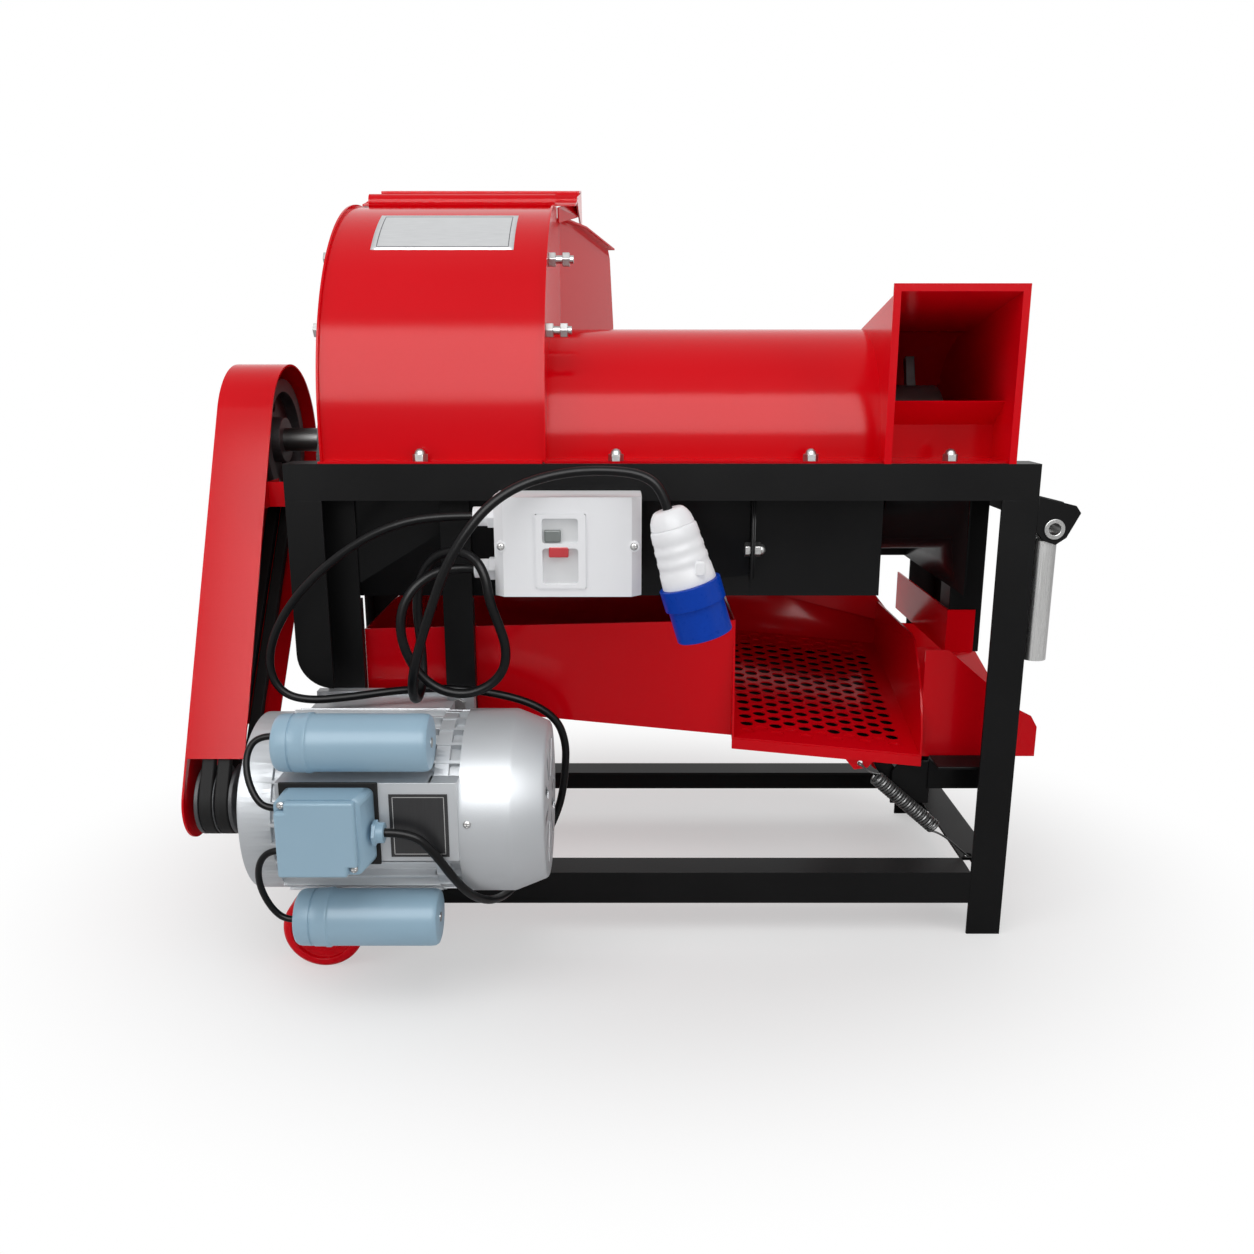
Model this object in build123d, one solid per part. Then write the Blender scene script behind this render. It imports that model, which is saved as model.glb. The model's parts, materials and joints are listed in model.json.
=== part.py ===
from build123d import *
import math
import os

# Corn sheller on a welded angle-iron stand. X runs to the feed hopper, Y to the back, Z up from the floor.

# Stand
frame_half = 361.5
frame_depth = 316.0
frame_top = 495.0
angle_leg = 35.0
angle_wall = 3.0
bearing_rail_drop = 21.0
lower_rail_top = 71.0
wheel_leg_foot = 20.0
leg_notch_gap = 7.0
upright_front = angle_leg
upright_lip = 12.0
skirt_foot = 359.0
end_post_x = frame_half - 48.5
end_post_y = 97.0
end_guard_top = 331.0
end_guard_foot = 284.0

# Shaft, drum and thrower
shaft_y = frame_depth / 2
bearing_height = 33.3
shaft_z = frame_top - bearing_rail_drop + bearing_height
shaft_r = 12.5
bore_gap = 0.05
bearing_base_width = 27.0
bearing_base_length = 127.0
bearing_ring_r = 20.0
shaft_end_r = 10.0
shaft_end_length = 14.0
drum_left, drum_right = -106.0, 298.0
cover_r = shaft_y - 42.0
drum_r = cover_r / 2
tooth_tip_r = cover_r - 22.0
tooth_width = 10.0
tooth_rows = 4
teeth_per_row = 8
paddle_tip_r = cover_r - 4.0
paddle_count = 4
sheet = 2.0

# Housings
thrower_left, thrower_right = -330.0, -112.0
scroll_front = 20.0
scroll_r = 225.0
scroll_base = 530.0
plate_rim = 3.0
scroll_top = scroll_base + scroll_r
throat_y = frame_depth - 22.0
chute_end = throat_y + 196.0
chute_flare = 60.0
chute_foot = 545.0
chute_sill = 600.0
cob_hole_r = cover_r - 17.0
cover_flange_y = 5.0
hopper_left, hopper_right = 216.0, 332.0
hopper_mouth_top = 654.0
trough_r = cover_r + sheet
trough_joint_x = 91.0
trough_end_x = end_post_x - 3.0
skirt_y = 38.0
skirt_front_end = 222.0
concave_r = cover_r - 12.0
cover_bolt_x = (-232.0, -44.0, 143.0, 277.0)
cover_bolt_y = 12.0
bolt_r = 4.0
bolt_hole_gap = 0.4

# Hood
hood_pivot_y = scroll_front + scroll_r + 2.0
hood_pivot_z = scroll_top + 7.0
hood_left, hood_right = -331.0, -91.0

# Belt drive
pulley_width = 36.0
pulley_left = -frame_half - 79.5
pulley_right = pulley_left + pulley_width
driven_pulley_r = 65.0
motor_pulley_r = 34.0
groove_depth = 9.0
groove_width = 13.5
belt_width = 12.0
belt_x = (pulley_left + 10.5, pulley_right - 10.5)
guard_left, guard_right = pulley_left - 10.0, pulley_right + 10.0
guard_top_r = 80.0
guard_low_r = 37.0
guard_rim_foot = 225.0

# Motor
motor_y = -55.0
motor_z = 178.0
motor_r = 87.0
motor_core_r = 79.0
motor_shield_left = pulley_right + 10.0
motor_shield_right = motor_shield_left + 43.0
fan_cover_left = motor_shield_right + 152.0
fan_cover_chamfer = fan_cover_left + 61.0
fan_cover_right = fan_cover_chamfer + 31.0
fan_cover_end_r = 75.0
fin_count = 28
fin_width = 3.0
motor_shaft_r = 12.0
foot_half_pitch = 70.0
foot_bolt_x = (motor_shield_left + 64.0, motor_shield_left + 189.0)
foot_half_height = 14.0
foot_bar_x = (foot_bolt_x[0] - 20.0, foot_bolt_x[1] + 16.0)
upright_left = (foot_bolt_x[0] - 11.0, foot_bolt_x[0] + 27.0)
upright_right = (foot_bolt_x[1] - 14.0, foot_bolt_x[1] + 16.0)
pad_front = motor_y - motor_r - 1.0
pad_z = (155.0, 229.0)
capacitor_r = 27.0
capacitor_angle = 47.9
capacitor_seat = motor_r + capacitor_r + 0.3
capacitor_y = motor_y - capacitor_seat * math.cos(math.radians(capacitor_angle))
capacitor_rise = capacitor_seat * math.sin(math.radians(capacitor_angle))
capacitor_x = ((motor_shield_left + 53.0, motor_shield_left + 190.0), (motor_shield_left + 60.0, motor_shield_left + 191.0))
terminal_x = (motor_shield_left + 59.0, motor_shield_left + 139.0)
terminal_z = (156.0, 226.0)
terminal_front = -172.0
lid_side = 69.0
lid_depth = 8.0
gland_r = 9.0
terminal_gland_length = 10.0

# Shaker tray
tray_left, tray_right = -frame_half + 56.5, frame_half + 39.5
tray_front, tray_rear = 51.0, frame_depth - 41.0
spout_width = 201.0
spout_right = frame_half - 83.5
spout_left = spout_right - spout_width
spout_front = 41.0
tray_floor_z = 243.0
tray_drop = 70.4
tray_lift = 60.0
tray_fall = tray_drop / (tray_right - tray_left)
tray_rise = tray_lift / (tray_rear - tray_front)
tray_top_left, tray_top_right = 321.0, 330.0
tray_end_floor = 181.0
ledge_width = 27.0
screen_hole_r = 5.0
screen_columns = 10
screen_rows = 11
rocker_x, rocker_z = -22.0, 32.0
rocker_pivots = {"left": (-frame_half + 98.5, 196.0), "right": (frame_half - 99.5, 140.0)}
rocker_front = 54.0
pivot_plate_y = 49.0
rocker_thick = 6.0
rocker_pin_r = 5.0
rocker_end_r = 8.0
ear_hole_gap = 0.6
spring_lug = (spout_right - 64.0, 176.0)
spring_lug_y = 43.0
spring_hook_x, spring_hook_y = frame_half - 25.5, 42.0
spring_r = 8.0
spring_wire_r = 1.1
spring_length = 87.0

# Wheels and handles
wheel_r = 40.0
wheel_x = -frame_half + 25.5
wheel_gap = 36.0
wheel_width = 28.0
axle_r = 6.0
handle_x = frame_half + 14.5
handle_pivot_x, handle_pivot_z = frame_half + 17.5, 432.6
handle_tube_r = 12.5
handle_top, handle_foot = 420.0, 299.0
handle_pin_r = 8.0
handle_pin_bore = 5.8
handle_y = 17.5
handle_bracket_reach = 42.0

# Switch box and plug
box_left, box_right = -156.0, -20.0
box_foot, box_top = 378.0, 470.0
box_depth = 56.0
box_joint_y = -22.0
start_button_at = (-101.5, 434.5)
stop_button_at = (-96.0, 420.0)
button_travel = 3.0
button_depth = 18.0
button_gap = 0.4
power_gland = (-30.0, 400.0)
motor_gland = (-28.0, 449.0)
box_gland_length = 21.0
cord_r = 4.5
lead_r = 4.0
capacitor_lead_r = 3.0
plug_top = (3.0, -70.0, 461.0)
plug_foot = (38.3, -70.0, 345.4)
plug_body_share = 0.58

# Free cords, as points chosen along the route
power_route = [
    (3, -70, 461), (-2.5, -70, 479), (-18.5, -68, 491.5), (-46, -64, 495), (-80, -60, 494), (-112, -62, 488),
    (-138, -68, 478), (-160, -76, 462), (-178, -81, 440), (-196, -83, 411), (-211, -82, 372), (-224, -80, 334),
    (-232, -78, 303), (-234, -63, 280), (-233, -40, 276), (-232, -23, 292), (-233, -20, 322), (-236, -20, 356),
    (-232, -22, 388), (-216, -27, 411), (-194, -37, 419), (-174, -47, 413), (-164, -53, 396), (-161, -55, 373),
    (-153, -53, 350), (-147, -51, 329), (-149, -50, 307), (-163, -50, 290), (-187, -51, 281), (-214, -52, 287),
    (-234, -53, 307), (-245, -54, 335), (-245, -53, 362), (-234, -48, 384), (-217, -38, 396), (-199, -30, 400),
    (-177, -30, 400),
]
motor_route = [
    (-177, -28, 449), (-205, -28, 449), (-243, -30, 444), (-282, -30, 428), (-320, -30, 401), (-352, -30, 369),
    (-374, -30, 333), (-380, -30, 300), (-369, -29, 276), (-344, -27, 268), (-306, -22, 270), (-264, -10, 273),
    (-220, 0, 273), (-172, 6, 267), (-130, 8, 255), (-104, 10, 236), (-96, 12, 210), (-97, 17, 184),
    (-100, 23, 156), (-106, 26, 130), (-119, 16, 104), (-134, -12, 83), (-148, -42, 75), (-158, -70, 79),
    (-168, -97, 91), (-179, -124, 112), (-191, -141, 138), (-203, -153, 166), (-221, -156, 188), (-246, -156, 188),
]
capacitor_routes = [
    [(-342, -138, 271), (-357, -138, 271), (-366, -144, 257), (-364, -152, 237), (-355, -158, 219),
     (-346, -158, 212), (-336, -158, 212)],
    [(-336, -158, 172), (-347, -158, 172), (-358, -156, 161), (-363, -150, 142), (-362, -143, 121),
     (-355, -139, 103), (-345, -138, 94), (-335, -138, 94)],
]

# The row's origin is the middle of the outline on the floor
outline_left = guard_left
outline_right = frame_half + handle_bracket_reach
outline_front = terminal_front - lid_depth
outline_rear = chute_end
origin_x = (outline_left + outline_right) / 2
origin_y = (outline_front + outline_rear) / 2

parts = {}


def block(x0, x1, y0, y1, z0, z1):
    """A box given by its limits."""
    return Pos(x0, y0, z0) * Box(x1 - x0, y1 - y0, z1 - z0, align=(Align.MIN,) * 3)


def rod(radius, start, end):
    """A round bar between two points."""
    axis = Vector(*end) - Vector(*start)
    return extrude(Plane(origin=start, z_dir=axis) * Circle(radius), axis.length)


def rod_x(radius, x0, x1, y, z):
    return rod(radius, (x0, y, z), (x1, y, z))


def rod_y(radius, y0, y1, x, z):
    return rod(radius, (x, y0, z), (x, y1, z))


def slab_x(face, x0, x1):
    """A face drawn in Y and Z, made thick along X."""
    return extrude(Plane((x0, 0, 0), x_dir=(0, 1, 0), z_dir=(1, 0, 0)) * face, x1 - x0, dir=(1, 0, 0))


def slab_y(face, y0, y1):
    """A face drawn in X and Z, made thick along Y."""
    return extrude(Plane((0, y1, 0), x_dir=(1, 0, 0), z_dir=(0, -1, 0)) * face, y1 - y0, dir=(0, -1, 0))


def slab_z(face, z0, z1):
    """A face drawn in X and Y, made thick along Z."""
    return extrude(Pos(0, 0, z0) * face, z1 - z0, dir=(0, 0, 1))


def outline(*points):
    return Polygon(*points, align=None)


def hexagon(across):
    return RegularPolygon(across / 2, 6, major_radius=False)


def bolt(start, axis, grip, radius=bolt_r, domed=True):
    """A hexagon bolt whose head sits at start, with its nut past the grip."""
    plane = Plane(origin=start, z_dir=axis)
    across = radius * 3.25
    head = extrude(plane * hexagon(across), -radius * 1.3)
    shank = extrude(plane * Circle(radius), grip + radius * 1.6)
    nut = extrude(plane.offset(grip) * hexagon(across), radius * 1.6)
    result = head + shank + nut
    if domed:
        result += plane.offset(grip + radius * 1.6) * Sphere(radius * 1.35)
    return result


def mirror_y(shape):
    """The same piece at the back of the stand."""
    return mirror(shape, Plane((0, frame_depth / 2, 0), x_dir=(1, 0, 0), z_dir=(0, 1, 0)))


def mirror_x(shape):
    """The same piece at the other end of the stand."""
    return mirror(shape, Plane.YZ)


def separate(*shapes):
    """Loose solids that share one node."""
    solids = []
    for shape in shapes:
        solids += shape.solids()
    return Compound(children=solids)


def half_ring(outer, inner, lower):
    """Half of a ring about the shaft, the lower or the upper one, drawn in Y and Z."""
    side = -outer if lower else outer
    half = Pos(0, side) * Rectangle(2 * outer, 2 * outer)
    return Pos(shaft_y, shaft_z) * ((Circle(outer) - Circle(inner)) & half)


# Stand

def long_rail(z_top):
    """An angle rail along the front, its corner on the outer upper edge."""
    face = block(-frame_half, frame_half, 0, angle_wall, z_top - angle_leg, z_top)
    return face + block(-frame_half, frame_half, angle_wall, angle_leg, z_top - angle_wall, z_top)


def end_rail(z_top):
    """An angle rail across the right end."""
    y0, y1 = angle_leg, frame_depth - angle_leg
    face = block(frame_half - angle_wall, frame_half, y0, y1, z_top - angle_leg, z_top)
    return face + block(frame_half - angle_leg, frame_half - angle_wall, y0, y1, z_top - angle_wall, z_top)


def leg(foot):
    """The right front leg, an angle with its corner outwards."""
    top = frame_top - angle_leg
    face = block(frame_half - angle_leg, frame_half, 0, angle_wall, foot, top)
    return face + block(frame_half - angle_wall, frame_half, angle_wall, angle_leg, foot, top)


front_rail = long_rail(frame_top)
for x in cover_bolt_x:
    front_rail -= rod(bolt_r + bolt_hole_gap, (x, cover_bolt_y, frame_top - 9), (x, cover_bolt_y, frame_top + 9))
bearing_rail_top = frame_top - bearing_rail_drop
bearing_rail = end_rail(bearing_rail_top)
bearing_x = frame_half - angle_leg / 2 + 5.5
bearing_bolt_pitch = 95.0
for side in (-1, 1):
    y = shaft_y + side * bearing_bolt_pitch / 2
    bearing_rail -= rod(bolt_r + bolt_hole_gap, (bearing_x, y, bearing_rail_top - 9),
                        (bearing_x, y, bearing_rail_top + 9))
guard_bolt_y, guard_bolt_z = 76.0, 461.0
left_bearing_rail = mirror_x(bearing_rail)
left_bearing_rail -= rod_x(bolt_r + bolt_hole_gap, -frame_half - 9, -frame_half + 9, guard_bolt_y, guard_bolt_z)
parts["top_rails"] = separate(front_rail, mirror_y(front_rail), bearing_rail, left_bearing_rail)

right_leg = leg(0)
wheel_leg = mirror_x(leg(wheel_leg_foot))
wheel_leg -= rod_y(axle_r + bolt_hole_gap, -9, 9, wheel_x, wheel_r)
notch_top = motor_z + motor_r + leg_notch_gap
cut_leg = wheel_leg - block(-frame_half, -frame_half + angle_leg, 0, angle_leg, motor_z - motor_r - leg_notch_gap, notch_top)
notch_corner = block(-frame_half, -frame_half + angle_leg, 0, angle_leg, notch_top, notch_top + angle_leg)
cut_leg -= notch_corner - rod_y(angle_leg, 0, angle_leg, -frame_half + angle_leg, notch_top + angle_leg)
parts["legs"] = separate(right_leg, mirror_y(right_leg), cut_leg, mirror_y(wheel_leg))

low_reach = frame_half - angle_leg
low_rail = long_rail(lower_rail_top) & block(-low_reach, low_reach, 0, angle_leg, 0, lower_rail_top)
low_side = end_rail(lower_rail_top)
hooked_side = low_side - rod(4.5, (spring_hook_x, spring_hook_y, 60), (spring_hook_x, spring_hook_y, 80))
hooked_side -= rod(4.5, (spring_hook_x, frame_depth - spring_hook_y, 60),
                   (spring_hook_x, frame_depth - spring_hook_y, 80))
parts["lower_rails"] = separate(low_rail, mirror_y(low_rail), hooked_side, mirror_x(low_side))


def upright(x0, x1):
    """A folded upright behind the front rails, for the motor's feet."""
    y0 = upright_front
    result = block(x0, x1, y0, y0 + angle_wall, lower_rail_top, frame_top - angle_wall - sheet)
    result += block(x0, x1, angle_wall, y0, lower_rail_top, lower_rail_top + angle_wall)
    for lip_x in (x0, x1 - angle_wall):
        result += block(lip_x, lip_x + angle_wall, y0 + angle_wall, y0 + upright_lip, lower_rail_top, skirt_foot - 4)
    rail_end = -frame_half + angle_leg
    rail_under = bearing_rail_top - angle_wall - 0.5
    return result - block(-frame_half, rail_end + 0.5, y0 - 1, y0 + angle_leg, rail_under, frame_top)


uprights = []
for (x0, x1), bolt_x in zip((upright_left, upright_right), foot_bolt_x):
    bar = upright(x0, x1)
    for side in (-1, 1):
        bolt_z = motor_z + side * foot_half_pitch
        bar -= rod_y(bolt_r + bolt_hole_gap, upright_front - 9, upright_front + 20, bolt_x, bolt_z)
    uprights.append(bar)
parts["motor_uprights"] = separate(*uprights)

post_top = bearing_rail_top - angle_wall
post = block(end_post_x, end_post_x + angle_wall, end_post_y, end_post_y + angle_leg, end_guard_foot, post_top)
post += block(end_post_x, end_post_x + angle_leg, end_post_y, end_post_y + angle_wall, end_guard_foot, post_top)
parts["end_post"] = post

guard_z = (end_guard_foot, end_guard_top)
guard_plate = block(end_post_x - sheet, end_post_x, end_post_y - sheet, frame_depth - angle_wall, *guard_z)
guard_plate += block(end_post_x, end_post_x + 28, end_post_y - sheet, end_post_y, *guard_z)
parts["end_guard"] = guard_plate


# Shaft and rotor

def pillow_block():
    """A cast bearing housing on its foot, with the bore left open for the ring."""
    base = Pos(shaft_y, bearing_rail_top + 7) * Rectangle(bearing_base_length, 14)
    body = Pos(shaft_y, shaft_z) * Circle(31)
    shoulder = outline((shaft_y - 46, bearing_rail_top + 10), (shaft_y + 46, bearing_rail_top + 10),
                       (shaft_y + 29, shaft_z), (shaft_y - 29, shaft_z))
    face = base + body + shoulder - Pos(shaft_y, shaft_z) * Circle(bearing_ring_r)
    half = bearing_base_width / 2
    casting = slab_x(face, bearing_x - half, bearing_x + half)
    for side in (-1, 1):
        y = shaft_y + side * bearing_bolt_pitch / 2
        casting -= rod(bolt_r + bolt_hole_gap, (bearing_x, y, bearing_rail_top - 1), (bearing_x, y, shaft_z + 40))
        casting -= block(bearing_x - 14, bearing_x + 14, y - 9, y + 9, bearing_rail_top + 14, shaft_z + 40)
    return casting


bearing_block = pillow_block()
parts["pillow_blocks"] = separate(bearing_block, mirror_x(bearing_block))
bearing_bolts = []
for side in (-1, 1):
    y = shaft_y + side * bearing_bolt_pitch / 2
    fastener = bolt((bearing_x, y, bearing_rail_top + 14), (0, 0, -1), 14 + angle_wall, domed=False)
    bearing_bolts += [fastener, mirror_x(fastener)]
parts["bearing_bolts"] = separate(*bearing_bolts)

ring = rod_x(bearing_ring_r - bore_gap, bearing_x - 15.5, bearing_x + 15.5, shaft_y, shaft_z)
ring -= rod_x(shaft_r + bore_gap, bearing_x - 20, bearing_x + 20, shaft_y, shaft_z)
parts["bearing_rings"] = separate(ring, mirror_x(ring))

shoulder_x = bearing_x + 16.5
main_shaft = rod_x(shaft_r, pulley_left - 4, shoulder_x, shaft_y, shaft_z)
parts["main_shaft"] = main_shaft + rod_x(shaft_end_r, shoulder_x, shoulder_x + shaft_end_length, shaft_y, shaft_z)


def shelling_drum():
    """A closed drum with square teeth welded round it in slow spirals."""
    drum = rod_x(drum_r, drum_left, drum_right, shaft_y, shaft_z)
    seat = rod_x(drum_r + bore_gap, drum_left, drum_right, shaft_y, shaft_z)
    teeth = []
    spacing = (drum_right - drum_left - 4 * tooth_width) / (teeth_per_row - 1)
    for row in range(tooth_rows):
        for index in range(teeth_per_row):
            x = drum_left + 2 * tooth_width + index * spacing
            turn = 360 * row / tooth_rows + index * 22.5
            tooth_size = (tooth_width, tooth_width, tooth_tip_r - drum_r + 6)
            tooth = Box(*tooth_size, align=(Align.CENTER, Align.CENTER, Align.MIN))
            teeth.append(Pos(x, shaft_y, shaft_z) * Rot(turn, 0, 0) * Pos(0, 0, drum_r - 6) * tooth - seat)
    bore = rod_x(shaft_r + bore_gap, drum_left - 5, drum_right + 5, shaft_y, shaft_z)
    return separate(drum - bore, *teeth)


parts["shelling_drum"] = shelling_drum()


def thrower_rotor():
    """Flat paddles on a hub, which throw the bare cobs out."""
    x0, x1 = thrower_left + 8, thrower_right - 8
    rotor = rod_x(26, x0, x1, shaft_y, shaft_z)
    for index in range(paddle_count):
        blade = Box(x1 - x0 - 6, 4, paddle_tip_r - 22, align=(Align.MIN, Align.CENTER, Align.MIN))
        blade += Pos(0, -8, paddle_tip_r - 24) * Box(x1 - x0 - 6, 12, 2, align=(Align.MIN, Align.MIN, Align.MIN))
        turn = 35 + 360 * index / paddle_count
        rotor += Pos(x0 + 3, shaft_y, shaft_z) * Rot(turn, 0, 0) * Pos(0, 0, 22) * blade
    return rotor - rod_x(shaft_r + bore_gap, x0 - 5, x1 + 5, shaft_y, shaft_z)


parts["thrower_rotor"] = thrower_rotor()


# Housings above the stand

def cover_flanges(x0, x1, foot_y):
    """The two feet of a housing, bolted on the rails."""
    front = block(x0, x1, cover_flange_y, foot_y, frame_top, frame_top + sheet)
    return front + mirror_y(front)


def vertical_bolt_cuts(x):
    """Holes for the bolts at x, at the front and the back."""
    front = rod(bolt_r + bolt_hole_gap, (x, cover_bolt_y, frame_top - 9), (x, cover_bolt_y, frame_top + 9))
    return front + mirror_y(front)


def scroll(inset):
    """The thrower's side outline, drawn in Y and Z: a front wall that curls over into the roof."""
    radius = scroll_r - inset
    front = scroll_front + inset
    centre_y = scroll_front + scroll_r
    top = scroll_base + radius
    curl = CenterArc((centre_y, scroll_base), radius, 90, 90)
    rest = Polyline((front, scroll_base), (front, frame_top), (throat_y, frame_top), (throat_y, top), (centre_y, top))
    return make_face(curl + rest)


plate_left = (thrower_left, thrower_left + sheet)
plate_right = (thrower_right - sheet, thrower_right)
wrap = scroll(0) - scroll(sheet)
wrap &= outline((0, 0), (hood_pivot_y, 0), (hood_pivot_y, 2 * scroll_top), (0, 2 * scroll_top))
cover = slab_x(wrap, plate_left[1], plate_right[0])
cover += block(plate_left[1], plate_right[0], 1, scroll_front + sheet, frame_top, frame_top + sheet)
parts["thrower_cover"] = cover - vertical_bolt_cuts(cover_bolt_x[0])

tie_bolt_r = scroll_r - 14.0
tie_bolt_at = []
for angle in (49.0, 25.0):
    y = scroll_front + scroll_r - tie_bolt_r * math.cos(math.radians(angle))
    tie_bolt_at.append((y, scroll_base + tie_bolt_r * math.sin(math.radians(angle))))
plate_face = scroll(-plate_rim)
shaft_hole = Pos(shaft_y, shaft_z) * Circle(shaft_r + 4)
cob_hole = Pos(shaft_y, shaft_z) * Circle(cob_hole_r)
left_plate = slab_x(plate_face - shaft_hole, *plate_left)
right_plate = slab_x(plate_face - cob_hole, *plate_right)
for y, z in tie_bolt_at:
    left_plate -= rod_x(bolt_r + bolt_hole_gap, thrower_left - 9, thrower_left + 9, y, z)
    right_plate -= rod_x(bolt_r + bolt_hole_gap, thrower_right - 9, thrower_right + 9, y, z)
parts["thrower_end_plates"] = separate(left_plate, right_plate)


def discharge_chute():
    """A flared duct that leads the cobs out at the back."""
    def plan(inset):
        return outline((thrower_left + inset, throat_y), (thrower_right - inset, throat_y),
                       (thrower_right + chute_flare - inset, chute_end), (thrower_left - chute_flare + inset, chute_end))
    bend, edge = throat_y + 67, throat_y + 174
    floor_side = outline((throat_y, frame_top), (throat_y + sheet, frame_top), (throat_y + sheet, chute_foot),
                         (chute_end, chute_sill), (chute_end, chute_sill + sheet), (throat_y, chute_foot + 1 + sheet))
    cheek_side = outline((throat_y, frame_top), (throat_y, scroll_top - 3), (bend, scroll_top - 4),
                         (edge, scroll_top - 19), (edge + 8, scroll_top - 31), (chute_end, scroll_top - 118),
                         (chute_end, chute_sill), (throat_y + sheet, chute_foot), (throat_y + sheet, frame_top))
    rim_side = outline((throat_y, scroll_top - 3), (bend, scroll_top - 4), (edge, scroll_top - 19),
                       (edge, scroll_top - 21), (bend, scroll_top - 6), (throat_y, scroll_top - 5))
    wide = (thrower_left - 1.5 * chute_flare, thrower_right + 1.5 * chute_flare)
    walls = slab_z(plan(0) - plan(sheet), frame_top, scroll_top)
    chute = walls & slab_x(cheek_side, *wide)
    chute += slab_z(plan(0), frame_top, scroll_top) & slab_x(floor_side, *wide)
    chute += slab_z(plan(-9) - plan(0), scroll_top - 55, scroll_top) & slab_x(rim_side, *wide)
    chute += block(thrower_left, thrower_right, throat_y, frame_depth - 2, frame_top, frame_top + sheet)
    for x0, x1 in ((thrower_left - 20, thrower_left), (thrower_right, thrower_right + 20)):
        chute -= block(x0, x1, throat_y - 1, frame_depth, frame_top - 1, chute_foot - 5)
    return chute - vertical_bolt_cuts(cover_bolt_x[0])


parts["discharge_chute"] = discharge_chute()


def deflector_hood():
    """A lid with folded steps, hinged at the front, that turns the cobs down."""
    y0, z0 = hood_pivot_y, hood_pivot_z
    first, second, third = y0 + 42, y0 + 111, y0 + 169
    steps = [(y0 + 9, z0), (first, z0 + 8), (first, z0 + 12), (second, z0 + 25), (second, z0 + 29), (third, z0 + 38)]
    under = [(third, z0 + 36), (second + 2, z0 + 27.3), (second + 2, z0 + 23.4), (first + 2, z0 + 10.4),
             (first + 2, z0 + 6.4), (y0 + 9, z0 - sheet)]
    roof = slab_x(outline(*steps, *under), hood_left, hood_right)
    cheek = outline((first, z0 + 9), (third, z0 + 37), (third + 22, z0 - 10), (second + 3, z0))
    hood = roof + slab_x(cheek, hood_left, hood_left + sheet) + slab_x(cheek, hood_right - sheet, hood_right)
    for x0, x1 in ((hood_left + 25, hood_left + 69), (hood_right - 89, hood_right - 45)):
        hood += rod_x(7, x0, x1, y0, z0) + block(x0, x1, y0, y0 + 12, z0 - sheet, z0)
    return hood - rod_x(bolt_r + bore_gap, hood_left, hood_right, y0, z0)


parts["deflector_hood"] = deflector_hood()

pin_left, pin_right = thrower_left + 10, thrower_right - 10
hinge_pin = rod_x(bolt_r, pin_left, pin_right, hood_pivot_y, hood_pivot_z)
for x0 in (pin_left, pin_right - 10):
    hinge_pin += block(x0, x0 + 10, hood_pivot_y - 6, hood_pivot_y, scroll_top, hood_pivot_z + 6)
    hinge_pin += rod_x(6, x0, x0 + 10, hood_pivot_y, hood_pivot_z)
hinge_pin -= block(thrower_left, thrower_right, hood_pivot_y - 30, hood_pivot_y + 30, scroll_top - 15, scroll_top)
parts["hood_hinge"] = hinge_pin


drum_cover_x = (thrower_right, hopper_left)
drum_cover = slab_x(half_ring(cover_r, cover_r - sheet, False), *drum_cover_x)
foot_y = shaft_y - cover_r + sheet
leg_wall = block(*drum_cover_x, foot_y - sheet, foot_y, frame_top, shaft_z)
drum_cover += leg_wall + mirror_y(leg_wall) + cover_flanges(*drum_cover_x, foot_y)
for x in cover_bolt_x[1:3]:
    drum_cover -= vertical_bolt_cuts(x)
parts["drum_cover"] = drum_cover


def hopper():
    """The feed hopper: an open mouth to the front and a roof that falls to the drum."""
    rear = shaft_y + cover_r

    def side(inset):
        dome = CenterArc((shaft_y, shaft_z), cover_r - inset, 0, 90)
        rest = Polyline((shaft_y, shaft_z + cover_r - inset), (0, hopper_mouth_top - inset), (0, frame_top),
                        (rear - inset, frame_top), (rear - inset, shaft_z))
        return make_face(dome + rest)

    shell = slab_x(side(0) - side(sheet), hopper_left, hopper_right)
    round_hole = Pos(shaft_y, shaft_z) * Circle(cover_r - 2 * sheet)
    hole_side = Pos(shaft_y, shaft_z) * Circle(shaft_r + 4)
    body = shell + slab_x(side(0) - round_hole, hopper_left, hopper_left + sheet)
    body += slab_x(side(0) - hole_side, hopper_right - sheet, hopper_right)
    lip_inner = (hopper_left + sheet, hopper_right - sheet)
    body += slab_x(outline((27, 553), (56, 530), (56, frame_top), (54, frame_top), (54, 529), (25, 552)), *lip_inner)
    body += block(*lip_inner, cover_flange_y, 54, frame_top, frame_top + sheet)
    body += block(hopper_left, hopper_right, rear, frame_depth - cover_flange_y, frame_top, frame_top + sheet)
    rim = block(hopper_left - 5, hopper_right + 5, 0, sheet, frame_top, hopper_mouth_top + 5)
    rim -= block(hopper_left + sheet, hopper_right - sheet, -1, 9, frame_top - 1, hopper_mouth_top - sheet)
    body += rim
    return body - vertical_bolt_cuts(cover_bolt_x[3])


parts["hopper"] = hopper()


# Troughs under the stand's top

def skirt(x0, x1, z0=skirt_foot):
    """The front panel of a trough, hung by its flange from the rail."""
    panel = block(x0, x1, skirt_y, skirt_y + sheet, z0, frame_top - angle_wall)
    flange = block(x0, x1, cover_flange_y, skirt_y, frame_top - angle_wall - sheet, frame_top - angle_wall)
    return panel + flange


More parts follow.
